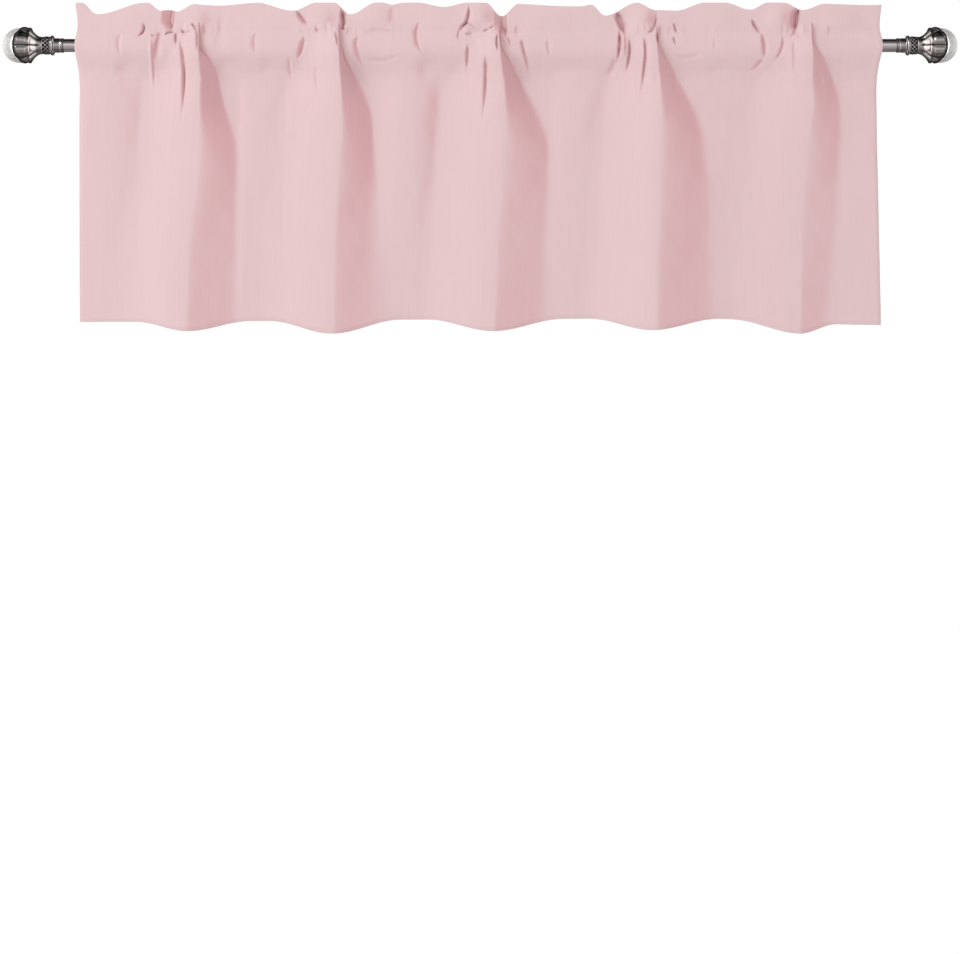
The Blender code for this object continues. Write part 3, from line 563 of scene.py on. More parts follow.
class ValanceRod(bpy.types.PropertyGroup):
    """Sizes and colours of the rod and finials."""
    metal: FloatVectorProperty(
        name="Rod colour", description="Gunmetal plating, polished", subtype="COLOR",
        default=srgb("B0A9A7"))
    antique: FloatVectorProperty(
        name="Finial colour", description="Gunmetal plating, darkened by hand", subtype="COLOR",
        default=srgb("8C8785"))
    worn: FloatVectorProperty(
        name="Rim colour", description="Gunmetal plating, worn bright", subtype="COLOR",
        default=srgb("F2F1EF"))
    glass: FloatVectorProperty(
        name="Glass colour", description="White crackle glass", subtype="COLOR",
        default=srgb("BDBCB9"))


class ValanceStudio(bpy.types.PropertyGroup):
    """Camera, floor and lights."""
    camera_distance: FloatProperty(
        name="Camera distance", description="From the rod's plane", default=3.2, unit="LENGTH")
    metres_per_pixel: FloatProperty(
        name="Picture scale", description="Metres to one pixel at the rod", default=0.00143,
        precision=5)
    floor_drop: FloatProperty(
        name="Floor below the rod", description="Height of the rod over the floor",
        default=2.0, unit="LENGTH")


# ------------------------------------------------------------- node materials
def add_node(tree, kind, settings=None, inputs=None):
    """A node with its settings, and its inputs, by name or number, as values or links."""
    node = tree.nodes.new(kind)
    for name, value in (settings or {}).items():
        setattr(node, name, value)
    for name, value in (inputs or {}).items():
        if isinstance(value, bpy.types.NodeSocket):
            tree.links.new(value, node.inputs[name])
        else:
            node.inputs[name].default_value = value
    return node


def set_stops(node, stops):
    """Gives a colour ramp its stops from (place, colour) pairs."""
    elements = node.color_ramp.elements
    elements.remove(elements[1])
    for i, (place, colour) in enumerate(stops):
        element = elements.new(place) if i else elements[0]
        element.position = place
        element.color = (*colour, 1.0)


def new_material(name):
    """An empty node material and its node tree."""
    material = bpy.data.materials.new(name)
    material.use_nodes = True
    tree = material.node_tree
    tree.nodes.clear()
    return material, tree


def plain_woven_polyester(colour):
    """Matte plain-woven polyester: even and soft, faint slubs up and down, with shade painted into
    its colour as a deeper pink on steep sides and in folds.
    """
    material, tree = new_material("plain_woven_polyester")
    flat = add_node(tree, "ShaderNodeUVMap", {"uv_map": "flat_cloth"})
    across = add_node(tree, "ShaderNodeSeparateXYZ", None, {"Vector": flat.outputs["UV"]})
    slub_place = add_node(tree, "ShaderNodeMapping", None, {
        "Vector": flat.outputs["UV"], "Scale": (1 / SLUB_WIDTH, 1 / SLUB_LENGTH, 1)})
    slub = add_node(tree, "ShaderNodeTexNoise", None, {
        "Vector": slub_place.outputs["Vector"], "Scale": 1.0, "Detail": 3.0})
    threads = []
    for axis in ("X", "Y"):
        turns = add_node(tree, "ShaderNodeMath", {"operation": "MULTIPLY"}, {
            0: across.outputs[axis], 1: 2 * math.pi / THREAD_SPACING})
        threads.append(add_node(tree, "ShaderNodeMath", {"operation": "SINE"}, {
            0: turns.outputs[0]}))
    weave = add_node(tree, "ShaderNodeMath", {"operation": "MULTIPLY"}, {
        0: threads[0].outputs[0], 1: threads[1].outputs[0]})
    slub_height = add_node(tree, "ShaderNodeMath", {"operation": "MULTIPLY_ADD"}, {
        0: slub.outputs["Fac"], 1: SLUB_HEIGHT, 2: weave.outputs[0]})
    relief = add_node(tree, "ShaderNodeBump", None, {
        "Height": slub_height.outputs[0], "Strength": 0.25, "Distance": 0.00008})
    # Painted shade: the attribute darkens the dye to a deeper pink on steep sides turned from the
    # key light and in creases.
    fold = add_node(tree, "ShaderNodeAttribute", {"attribute_name": "painted_fold_shade"})
    tone = add_node(tree, "ShaderNodeValToRGB", None, {"Fac": fold.outputs["Fac"]})
    set_stops(tone, [(place, [part * value for part, value in zip(shade, colour)])
                     for place, *shade in PAINTED_FOLD_SHADES])
    streak = add_node(tree, "ShaderNodeMapRange", None, {
        "Value": slub.outputs["Fac"], "From Min": 0.3, "From Max": 0.7,
        "To Min": 1 - SLUB_TINT, "To Max": 1 + SLUB_TINT})
    dyed_and_shaded = add_node(tree, "ShaderNodeVectorMath", {"operation": "SCALE"}, {
        0: tone.outputs["Color"], "Scale": streak.outputs["Result"]})
    shader = add_node(tree, "ShaderNodeBsdfPrincipled", None, {
        "Base Color": dyed_and_shaded.outputs[0],
        "Roughness": 0.88,
        "Sheen Weight": 0.10,
        "Sheen Roughness": 0.5,
        "Specular IOR Level": 0.25,
        "Normal": relief.outputs["Normal"],
    })
    add_node(tree, "ShaderNodeOutputMaterial", None, {"Surface": shader.outputs[0]})
    return material


def spun_thread(colour):
    """Spun polyester thread, dyed to match the cloth and a little shinier."""
    material, tree = new_material("spun_polyester_thread")
    shader = add_node(tree, "ShaderNodeBsdfPrincipled", None, {
        "Base Color": (*colour, 1.0),
        "Roughness": 0.7,
    })
    add_node(tree, "ShaderNodeOutputMaterial", None, {"Surface": shader.outputs[0]})
    return material


def plated_gunmetal(name, colour, worn):
    """Polished black-nickel plating: worn bright on its rims, black patina in its grooves."""
    material, tree = new_material(name)
    place = add_node(tree, "ShaderNodeTexCoord")
    wear = add_node(tree, "ShaderNodeTexNoise", None, {
        "Vector": place.outputs["Object"], "Scale": 1 / WEAR_SIZE, "Detail": 4.0})
    tone = add_node(tree, "ShaderNodeMapRange", None, {
        "Value": wear.outputs["Fac"], "From Min": 0.35, "From Max": 0.65,
        "To Min": 0.10, "To Max": 0.17})
    patina_and_painted_glare = add_node(tree, "ShaderNodeAttribute", {"attribute_name": "patina_and_painted_glare"})
    plating = add_node(tree, "ShaderNodeValToRGB", None, {"Fac": patina_and_painted_glare.outputs["Fac"]})
    set_stops(plating, ((0.0, worn), (0.5, colour),
                        (1.0, tuple(value * GROOVE_SHADE for value in colour))))
    shader = add_node(tree, "ShaderNodeBsdfPrincipled", None, {
        "Base Color": plating.outputs["Color"],
        "Metallic": 1.0,
        "Roughness": tone.outputs["Result"],
        "Specular Tint": (0.10, 0.09, 0.09, 1.0),   # turned surfaces darken to their edges
    })
    add_node(tree, "ShaderNodeOutputMaterial", None, {"Surface": shader.outputs[0]})
    return material


def crackle_glass(colour):
    """Blown white glass quenched to crackle: milky, with fine grey cracks under a gloss, and a
    white highlight painted along the cup's rim.
    """
    material, tree = new_material("crackle_glass")
    place = add_node(tree, "ShaderNodeTexCoord")
    cracks = add_node(tree, "ShaderNodeTexVoronoi", {"feature": "DISTANCE_TO_EDGE"}, {
        "Vector": place.outputs["Object"], "Scale": 1 / CRACKLE_SIZE})
    line = add_node(tree, "ShaderNodeMapRange", None, {
        "Value": cracks.outputs["Distance"], "From Min": 0.0, "From Max": 0.22})
    cloud = add_node(tree, "ShaderNodeTexNoise", None, {
        "Vector": place.outputs["Object"], "Scale": 1 / MILK_SIZE, "Detail": 3.0})
    milk = add_node(tree, "ShaderNodeMix", {"data_type": "RGBA"}, {
        "Factor": cloud.outputs["Fac"],
        6: (*(value * THIN_MILK for value in colour), 1.0), 7: (*colour, 1.0)})
    glaze = add_node(tree, "ShaderNodeMix", {"data_type": "RGBA"}, {
        "Factor": line.outputs["Result"],
        6: (*(value * CRACK_SHADE for value in colour), 1.0), 7: milk.outputs[2]})
    bump_node = add_node(tree, "ShaderNodeBump", None, {
        "Height": line.outputs["Result"], "Strength": 0.35, "Distance": 0.0003})
    # Painted highlight: pure white painted on the glass in a line along the cup's rim.
    glare = add_node(tree, "ShaderNodeAttribute", {"attribute_name": "patina_and_painted_glare"})
    rimmed = add_node(tree, "ShaderNodeMix", {"data_type": "RGBA"}, {
        "Factor": glare.outputs["Fac"],
        6: glaze.outputs[2], 7: (*srgb("FFFFFF"), 1.0)})
    shader = add_node(tree, "ShaderNodeBsdfPrincipled", None, {
        "Base Color": rimmed.outputs[2],
        "Roughness": 0.42,
        "IOR": 1.50,
        "Coat Weight": 0.2,
        "Coat Roughness": 0.12,
        "Normal": bump_node.outputs["Normal"],
    })
    add_node(tree, "ShaderNodeOutputMaterial", None, {"Surface": shader.outputs[0]})
    return material


# ---------------------------------------------------------------- the cloth
def share_of_drop(height):
    """0 at the lower stitching and above it, 1 at the hem."""
    return np.clip((LOWER_STITCH - height) / (LOWER_STITCH - HEM_LEVEL), 0, 1)


def bunch_place(table, name, height):
    """A bunch's crest or foot along the rod at any height."""
    return from_table(table, PLACE_COLUMNS, name, height)


def swelling_fall(share, swell, corner):
    """Falls from 1 to 0, steeper and steeper, from a small round crest to a rounded foot."""
    t = np.clip(share, 0, PAST_FOOT)
    t = np.sqrt(t**2 + CREST_ROUND**2) - CREST_ROUND
    left = 1 - t**swell
    return (left + np.sqrt(left**2 + corner**2)) / (1 + np.sqrt(1 + corner**2))


def bunch_relief(x, height):
    """How far bunches, rolls and puffs stand forward, and how far bunches lean to +X."""
    down = share_of_drop(height)
    crest, rise, swell, corner, slant = (
        from_table(SECTIONS, SECTION_COLUMNS, name, height) for name in SECTION_COLUMNS[1:])
    forward = np.zeros_like(x)
    lean = np.zeros_like(x)
    for name, depth_top, depth_hem, rise_factor in BUNCHES:
        stand = crest * (depth_top + (depth_hem - depth_top) * np.sqrt(down))
        overhang = slant * stand
        place = bunch_place(CREST_PLACES, name, height)
        width = bunch_place(FOOT_PLACES, name, height) - place + overhang
        offset = x - place + overhang
        slow = soft_fall(-offset / (rise * rise_factor), CROWN_TURN)
        one = stand * np.where(offset < 0, slow, swelling_fall(offset / width, swell, corner))
        forward = np.maximum(forward, one)
        lean = np.maximum(lean, one * slant)
    below_rod = ramp(-height, 0.0, ROLLS_FULL)
    for top_x, hem_x, forward_top, forward_hem, rise_width, fall_width in ROLLS:
        offset = x - (top_x + (hem_x - top_x) * down)
        roll = forward_top + (forward_hem - forward_top) * down
        shape = np.where(offset < 0, bump(offset, rise_width, fall_width),
                         swelling_fall(offset / fall_width, ROLL_SWELL, ROLL_CORNER))
        forward = forward + roll * below_rod * shape
    for puff_x, level, half_width, half_height, puff in PUFFS:
        round_off = bump(x - puff_x, half_width, half_width)
        forward = forward + puff * round_off * bump(height - level, half_height, half_height)
    return forward, lean


def beside_line(x, height, line):
    """Signed distance to a bowed line, positive on its right, and the share along it."""
    start, middle, end = (np.array(point) for point in line)
    bend = 2 * middle - (start + end) / 2
    share = np.linspace(0, 1, LINE_STEPS + 1)[:, None]
    points = (1 - share)**2 * start + 2 * share * (1 - share) * bend + share**2 * end
    nearest = np.full_like(x, np.inf)
    along = np.zeros_like(x)
    for i, (a, b) in enumerate(zip(points, points[1:])):
        run = b - a
        t = np.clip(((x - a[0]) * run[0] + (height - a[1]) * run[1]) / (run @ run), 0, 1)
        off_x = x - a[0] - t * run[0]
        off_z = height - a[1] - t * run[1]
        distance = np.hypot(off_x, off_z) * np.where(run[0] * off_z - run[1] * off_x < 0, -1, 1)
        closer = np.abs(distance) < np.abs(nearest)
        nearest = np.where(closer, distance, nearest)
        along = np.where(closer, (i + t) / LINE_STEPS, along)
    return nearest, along


def crease_relief(x, height):
    """How far the lines of the gathering sink back."""
    back = np.zeros_like(x)
    for x0, z0, x1, z1, x2, z2, depth, left, right in CREASES:
        widest = max(left, right)
        near = ((x > min(x0, x1, x2) - widest) & (x < max(x0, x1, x2) + widest)
                & (height > min(z0, z1, z2) - widest) & (height < max(z0, z1, z2) + widest))
        if not near.any():
            continue
        distance, along = beside_line(x[near], height[near], ((x0, z0), (x1, z1), (x2, z2)))
        fade = ramp(along, *CREASE_START) * ramp(1 - along, *CREASE_END)
        reach = np.where(distance < 0, left, right) * (CREASE_TIP + (1 - CREASE_TIP) * fade)
        apart = np.clip(np.abs(distance) / reach, 0, 1)
        if depth > RECESS_DEPTH:
            back[near] += depth * fade * (1 - apart)**RECESS_CURVE
        elif left + right < WIDE_CREASE and depth > 0:
            back[near] += SHARP_GAIN * depth * fade * (1 - apart)**2
        else:
            back[near] += depth * fade * bump(distance, left, right)
    return back


def seam_relief(x, height):
    """How far the stitched seams are drawn in, with their fine puckers."""
    bunched = np.zeros_like(x)
    for name, *_ in BUNCHES:
        place = bunch_place(CREST_PLACES, name, UPPER_STITCH)
        bunched = np.maximum(bunched, bump(x - place, PUCKERED_LEFT, PUCKERED_RIGHT))
    back = np.zeros_like(x)
    for seam, groove, pucker in SEAMS:
        close = bump(height - seam, PUCKER_REACH, PUCKER_REACH)
        back += groove * bump(height - seam, SEAM_HALF_WIDTH, SEAM_HALF_WIDTH)
        for wavelength, ripple, phase in PUCKERS:
            wave = np.sin(2 * np.pi * x / wavelength + phase * (1 + PUCKER_DRIFT * seam))
            back += ripple * close * (PUCKER_EVEN + pucker * bunched) * wave
    return back


def wrinkle_relief(x, height):
    """The cloth's soft unevenness: crossed waves, calmer down the drop."""
    back = np.zeros_like(x)
    for along, down, depth, phase in WRINKLES:
        drift = WRINKLE_DRIFT * np.sin(2 * np.pi * x / (along * WRINKLE_DRIFT_LENGTH) + phase)
        back += depth * np.sin(2 * np.pi * (x / along + height / down) + phase + drift)
    return back * (1 - WRINKLE_CALM * np.sqrt(share_of_drop(height)))


def dipping_edge(x, edge, dips):
    """An edge of the cloth with its dips."""
    for place, depth, left, right in dips:
        edge = edge - depth * bump(x - place, left, right)
    return edge


def pocket_layers(height):
    """How far the front layer stands forward, and the back layer behind the rod's axis."""
    front, back = (from_table(POCKET_PROFILE, POCKET_COLUMNS, name, height)
                   for name in ("front", "back"))
    inside = (height > LOWER_STITCH) & (height < UPPER_STITCH)
    return front, np.where(inside, back, -front)


def side_wander(x, height, width):
    """How far the side edges are drawn in or let out at each height."""
    shift = np.zeros_like(x)
    for name, way in (("left", -1), ("right", 1)):
        out = from_table(EDGE_RUN, EDGE_COLUMNS, name, height)
        shift += way * out * ramp(way * x, width / 2 - EDGE_REACH, width / 2)
    return shift


def cloth_surface(x, height, side, width):
    """Middle of the front (side -1) or back (side +1) layer."""
    forward, lean = bunch_relief(x, height)
    forward = forward - crease_relief(x + lean, height) - seam_relief(x, height)
    forward = forward - wrinkle_relief(x, height)
    front, back = pocket_layers(height)
    half_depth = (front + back) / 2
    own_depth = np.where(side > 0, back, front)
    clear = ROD_RADIUS + ROD_CLEARANCE
    pressed = np.clip(1 - half_depth / clear, 0, 1)
    room = own_depth - np.sqrt(np.maximum(clear**2 - height**2, 0)) + DEEPEST_FOLD * pressed
    forward = np.maximum(forward, -np.maximum(room, 0))
    held = np.where(side > 0, pressed, 1.0)
    along = x + lean * held + side_wander(x, height, width)
    depth = np.where(side > 0, back, -front) - forward * held
    return np.stack((along, depth, height), axis=-1)


def laid_cloth(x, height, side, behind, width):
    """Points of the cloth, set behind its face where it is turned under or doubled."""
    point = cloth_surface(x, height, side, width)
    along = cloth_surface(x + NORMAL_STEP, height, side, width) - point
    up = cloth_surface(x, height + NORMAL_STEP, side, width) - point
    normal = np.cross(along, up)
    normal /= np.linalg.norm(normal, axis=-1, keepdims=True)
    return point - normal * (behind * -side)[..., None]


def column_places(width, count):
    """Places of the cloth's columns along the rod, closer together in each bunch."""
    fine = np.linspace(-width / 2, width / 2, PLACE_SAMPLES)
    density = np.ones_like(fine)
    for name, *_ in BUNCHES:
        place = bunch_place(CREST_PLACES, name, UPPER_STITCH)
        density += BUNCH_FINENESS * np.exp(-((fine - place + FINE_SHIFT) / BUNCH_REACH)**2)
    for x0, _, x1, *_ in CREASES:
        near = np.exp(-((fine - (x0 + x1) / 2) / CREASE_REACH)**2)
        density = np.maximum(density, 1 + BUNCH_FINENESS * near)
    length = np.concatenate(([0], np.cumsum((density[1:] + density[:-1]) / 2)))
    return np.interp(np.linspace(0, length[-1], count), length, fine)


def sheet_rows(x, layer):
    """Height, side and set-back of each row, from the hem's turned edge over the header."""
    hem = dipping_edge(x, HEM_LEVEL + from_table(HEM_RUN, HEM_COLUMNS, "offset", x), HEM_DIPS)
    top = dipping_edge(x, HEADER_TOP, HEADER_DIPS)
    rows = []
    for share in np.linspace(1, 0, TURN_STEPS + 1):
        rows.append((hem + HEM_TURN * share + layer / 2, -1, layer))
    rows.append((hem, -1, layer / 2))
    for share in np.linspace(0, 1, DROP_ROWS + 1):
        start = hem + layer / 2
        rows.append((start + share * (LOWER_STITCH - start), -1, 0.0))
    for share in np.linspace(0, 1, POCKET_ROWS + 2)[1:]:
        height = LOWER_STITCH + share * (UPPER_STITCH - LOWER_STITCH)
        rows.append((np.full_like(x, height), -1, 0.0))
    for share in np.linspace(0, 1, HEADER_ROWS + 1)[1:]:
        rows.append((UPPER_STITCH + share * (top - UPPER_STITCH), -1, 0.0))
    rows.append((top + layer / 2, -1, layer / 2))
    for share in np.linspace(1, 0, HEADER_ROWS + 1):
        rows.append((UPPER_STITCH + share * (top - UPPER_STITCH), 1, 0.0))
    for share in np.linspace(1, 0, BACK_ROWS + 2)[1:]:
        height = LOWER_STITCH + share * (UPPER_STITCH - LOWER_STITCH)
        rows.append((np.full_like(x, height), 1, 0.0))
    rows.append((np.full_like(x, LOWER_STITCH - BACK_EDGE), 1, 0.0))
    return rows


def sheet_columns(width, layer, count):
    """Place and set-back of each column, with the cloth turned back at both sides."""
    edge = width / 2
    middle = column_places(width, count)
    turned = [edge - SIDE_TURN * share for share in np.linspace(1, 0, TURN_STEPS + 1)]
    place = np.concatenate((-np.array(turned), [-edge - layer / SIDE_FOLD], middle,
                            [edge + layer / SIDE_FOLD], turned[::-1]))
    behind = np.zeros_like(place)
    for ends in (slice(0, TURN_STEPS + 1), slice(-TURN_STEPS - 1, None)):
        behind[ends] = layer
    behind[TURN_STEPS + 1] = behind[-TURN_STEPS - 2] = layer / 2
    return place, behind


def cloth_grid(width, layer, count):
    """Points of the whole cloth and their places on the flat cloth."""
    place, column_behind = sheet_columns(width, layer, count)
    rows = sheet_rows(place, layer)
    height = np.array([row[0] for row in rows])
    side = np.array([row[1] for row in rows])[:, None] * np.ones_like(height)
    behind = np.array([row[2] for row in rows])[:, None] * np.ones_like(height)
    x = np.broadcast_to(place, height.shape).copy()
    doubled = ramp(height, LOWER_STITCH + SEAM_CLOSE, LOWER_STITCH)
    doubled = np.maximum(doubled, ramp(height, UPPER_STITCH - SEAM_CLOSE, UPPER_STITCH))
    doubled = SEAM_PRESS * np.where((side < 0) & (height < LOWER_STITCH), 0, doubled)
    behind = behind + column_behind * (1 - doubled) - layer * doubled
    points = laid_cloth(x, height, side, behind, width)
    down = np.diff(points, axis=0, prepend=points[:1])
    down = np.cumsum(np.linalg.norm(down, axis=-1), axis=0)
    across = np.diff(points, axis=1, prepend=points[:, :1])
    across = np.cumsum(np.linalg.norm(across, axis=-1), axis=1)[DROP_ROWS // 2]
    middle = down.shape[1] // 2
    flat = np.stack(np.broadcast_arrays(across, down[:, middle:middle + 1]), axis=-1)
    return points, flat


def painted_fold_shade(points):
    """How much shade is painted into the colour at each point: 0 on the open face, 1 on a steep
    side or in a crease.
    """
    along = np.gradient(points, axis=1)
    up = np.gradient(points, axis=0)
    normal = np.cross(along, up)
    normal /= np.linalg.norm(normal, axis=-1, keepdims=True) + 1e-12
    steep = ramp(normal[..., 0], *SIDEWAYS)
    even = np.arange(points[..., 0].min(), points[..., 0].max(), LEVEL_STEP)
    weight = np.exp(-(np.arange(-LEVEL_REACH, LEVEL_REACH + 1) / LEVEL_SPREAD)**2)
    sunk = np.zeros_like(steep)
    for i, row in enumerate(points):
        order = np.argsort(row[:, 0])
        depth = np.interp(even, row[order, 0], row[order, 1])
        padded = np.pad(depth, LEVEL_REACH, mode="edge")
        level = np.convolve(padded, weight / weight.sum(), mode="valid")
        sunk[i] = row[:, 1] - np.interp(row[:, 0], even, level)
    return 0.5 * steep + 0.5 * ramp(sunk, *SUNK)


def grid_faces(rows, columns, closed=False):
    """Quads over a grid of rows and columns; closed joins the last column to the first."""
    faces = []
    for row in range(rows - 1):
        for i in range(columns if closed else columns - 1):
            j = (i + 1) % columns
            faces.append((row * columns + i, row * columns + j,
                          (row + 1) * columns + j, (row + 1) * columns + i))
    return faces


def stitch_mesh(width, layer):
    """Lockstitches along both seams, on the face and on the back."""
    count = int(width / STITCH_PITCH)
    points, faces = [], []
    share = np.linspace(-1, 1, STITCH_RINGS)
    arch = np.sqrt(np.maximum(1 - share**2, 0))
    turn = 2 * np.pi * np.arange(STITCH_SIDES) / STITCH_SIDES
    one_stitch = capped_faces(STITCH_RINGS, STITCH_SIDES)
    starts = (np.arange(count) + 0.5) * STITCH_PITCH - count * STITCH_PITCH / 2
    for seam in (UPPER_STITCH, LOWER_STITCH):
        for side in (-1, 1):
            x = starts[:, None] + share * STITCH_LENGTH / 2
            height = np.full_like(x, seam)
            lift = layer * SEAM_PRESS + THREAD_RADIUS * (arch * STITCH_ARCH - 1)
            middle = laid_cloth(x, height, side, -np.broadcast_to(lift, x.shape), width)
            radius = THREAD_RADIUS * (STITCH_TIP + (1 - STITCH_TIP) * arch)
            up = np.array((0, 0, 1))
            out = np.array((0, side, 0))
            for k in range(count):
                start = len(points)
                for centre, size in zip(middle[k], radius):
                    for angle in turn:
                        points.append(centre + size * (up * math.cos(angle)
                                                       + out * math.sin(angle)))
                faces += [tuple(start + corner for corner in face) for face in one_stitch]
    return points, faces


def mesh_piece(name, points, faces, material, replaced=(), flat=None):
    """A smooth piece that rides on the frame and takes the given material."""
    data = bpy.data.meshes.new(name)
    data.from_pydata([tuple(point) for point in points], [], faces)
    if flat is not None:
        places = data.uv_layers.new(name="flat_cloth").data
        corners = np.empty(len(data.loops), dtype=np.int64)
        data.loops.foreach_get("vertex_index", corners)
        places.foreach_set("uv", flat.reshape(-1, 2)[corners].ravel())
    faced = bmesh.new()
    faced.from_mesh(data)
    bmesh.ops.recalc_face_normals(faced, faces=faced.faces)
    faced.to_mesh(data)
    faced.free()
    data.shade_smooth()
    data.materials.append(material)
    piece = bpy.data.objects.new(name, data)
    bpy.context.scene.collection.objects.link(piece)
    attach(piece, "root")
    if replaced:
        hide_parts(*replaced)
    return piece


def paint(piece, name, values):
    """Keeps a value for each point of a piece, for its material to read."""
    layer = piece.data.attributes.new(name, "FLOAT", "POINT")
    layer.data.foreach_set("value", values.ravel())


# ---------------------------------------------------------- rod and finials
def turned_grid(profile, sides, radius_at=None):
    """Rings turned about X from (x, radius) pairs; radius_at changes one by place and angle."""
    angle = 2 * np.pi * np.arange(sides) / sides
    x = np.array([place for place, _ in profile])[:, None] * np.ones(sides)
    radius = np.array([size for _, size in profile])[:, None] * np.ones(sides)
    if radius_at is not None:
        radius = radius_at(x, radius, angle)
    return np.stack((x, -radius * np.cos(angle), radius * np.sin(angle)), axis=-1)


def capped_faces(rows, sides):
    """A turned solid's faces, with one flat face at each end."""
    faces = grid_faces(rows, sides, closed=True)
    faces.append(tuple(range(sides)))
    faces.append(tuple((rows - 1) * sides + i for i in range(sides)))
    return faces


def rounded_step(start, end, low, high, steps=5):
    """(x, radius) pairs of a quarter-round shoulder from low to high between two places."""
    turn = np.linspace(0, math.pi / 2, steps)
    if high > low:
        return [(start + (end - start) * (1 - math.cos(t)), low + (high - low) * math.sin(t))
                for t in turn]
    return [(start + (end - start) * math.sin(t), high + (low - high) * math.cos(t))
            for t in turn]


def neck_profile():
    """Sleeve, rounded flange and lattice band, from the rod's end outwards."""
    length = NECK_HIGH.x - NECK_LOW.x
    flange = SLEEVE_LENGTH
    crown = flange + FLANGE_WIDTH / 2
    band = flange + FLANGE_WIDTH
    profile = rounded_step(0, SLEEVE_EASE, SLEEVE_RADIUS - SLEEVE_EASE, SLEEVE_RADIUS)
    profile += [(flange * share, SLEEVE_RADIUS - depth) for share, depth in SCRIBED_RING]
    profile += [(flange - before, SLEEVE_RADIUS + rise) for before, rise in FLANGE_FOOT]
    profile += rounded_step(flange, crown, profile[-1][1], FLANGE_RADIUS)[1:]
    profile += rounded_step(crown, band, FLANGE_RADIUS, BAND_RADIUS - BAND_SHOULDER)[1:]
    for share in np.linspace(0, 1, BAND_RINGS):
        profile.append((band + BAND_START + (length - band - BAND_START - BAND_END) * share,
                        BAND_RADIUS - BAND_CROWN * (2 * share - 1)**2))
    profile.append((length, CUP_BASE_RADIUS - CUP_BASE_STEP))
    return profile


def lattice_radius(x, radius, angle):
    """Cuts the crossed grooves of the band."""
    band = SLEEVE_LENGTH + FLANGE_WIDTH
    on_band = ramp(x - band, *LATTICE_START)
    along = (x - band) / LATTICE_LENGTH
    around = angle * LATTICE_AROUND / (2 * math.pi)
    groove = np.zeros_like(x)
    for slant in (-1, 1):
        place = (around + slant * along) % 1
        beside = np.minimum(place, 1 - place) / LATTICE_HALF_WIDTH
        groove = np.maximum(groove, 1 - np.minimum(beside, 1))
    return radius - LATTICE_GROOVE * on_band * groove


def cup_reach(y, z):
    """The cup's base to its rim, in the direction (y, z) round the rod's axis."""
    share = np.abs(y) / np.maximum(np.hypot(y, z), 1e-9)
    return CUP_SHORT_REACH + (CUP_LONG_REACH - CUP_SHORT_REACH) * share


def cup_grid():
    """The cup's petals, rolled rim and inner bowl, and the patina at each point."""
    angle = 2 * np.pi * np.arange(CUP_SIDES) / CUP_SIDES
    reach = cup_reach(np.cos(angle), np.sin(angle))
    seat = BALL_RADIUS + BALL_GAP

    def bowl(x):
        inwards = np.minimum(x - BALL_CENTRE, 0) / BALL_INNER
        return np.sqrt(np.maximum(seat**2 - inwards**2, 0))

    petal = np.abs(np.sin(CUP_PETALS / 2 * angle))
    rings, dark = [], []
    to_lip = np.linspace(0, CUP_LIP[0], CUP_ROWS // 2)
    over_lip = np.linspace(CUP_LIP[1], 1, CUP_ROWS // 2)
    for share in np.concatenate((to_lip, over_lip)):
        x = reach * share
        flare = np.clip(x / CUP_SHORT_REACH, 0, 1)**CUP_FLARE
        wide = CUP_BASE_RADIUS + (CUP_MOUTH_RADIUS - CUP_BASE_RADIUS) * flare
        wide = np.maximum(wide, bowl(x) + CUP_WALL + PETAL_BULGE * petal**PETAL_FULLNESS)
        groove = PETAL_GROOVE * (1 - petal**GROOVE_SHARPNESS) * ramp(x, *GROOVE_START)
        to_rim = (reach - x) / RIM_BEAD
        bead = RIM_BEAD * np.sqrt(np.maximum(1 - (to_rim - 1)**2, 0))
        necking = RIM_NECKING * bump(to_rim - NECKING_PLACE, 1, NECKING_FALL)
        on_bead = to_rim < 2
        outer = wide - np.where(on_bead, 0, groove) - necking
        outer = np.maximum(outer, bowl(x) + BEAD_SEAT)
        rings.append((x, outer + np.where(on_bead, bead, 0)))
        cut = (1 - ramp(petal, *PATINA_BESIDE_GROOVE)) * ramp(x, *PATINA_FROM_BASE)
        under_rim = 1 - ramp(to_rim, *PATINA_UNDER_RIM)
        black = PLAIN_METAL + (1 - PLAIN_METAL) * np.maximum(cut, under_rim)
        dark.append(np.where(to_rim < WORN_RIM, 0, black))
    floor = BALL_CENTRE - seat * BALL_INNER * math.cos(BOWL_FLOOR_TURN)
    for share in np.linspace(1, 0, CUP_ROWS // 2):
        x = floor + (reach - floor) * share
        rings.append((x, bowl(x)))
        dark.append(np.full(CUP_SIDES, PLAIN_METAL))
    points = np.array([np.stack((x, -r * np.cos(angle), r * np.sin(angle)), axis=-1)
                       for x, r in rings])
    return points, np.array(dark)


def ball_grid():
    """The glass ball, with its poles on the rod's axis, and how much painted highlight each point
    takes along the cup's rim.
    """
    turn = np.linspace(0, math.pi, BALL_ROWS + 2)[1:-1]
    ball = turned_grid([(-BALL_RADIUS * math.cos(t) * (BALL_INNER if t < math.pi / 2 else 1),
                         BALL_RADIUS * math.sin(t)) for t in turn], BALL_SIDES)
    past_rim = ball[..., 0] + BALL_CENTRE - cup_reach(ball[..., 1], ball[..., 2])
    return ball, bump(past_rim - GLARE_WIDTH / 2, GLARE_WIDTH, GLARE_WIDTH)


def placed(points, x, turned):
    """Points set at x along the rod, or at -x and facing the other way."""
    points = points.reshape(-1, 3) + np.array((x, 0, 0))
    return points * np.array((-1, -1, 1)) if turned else points


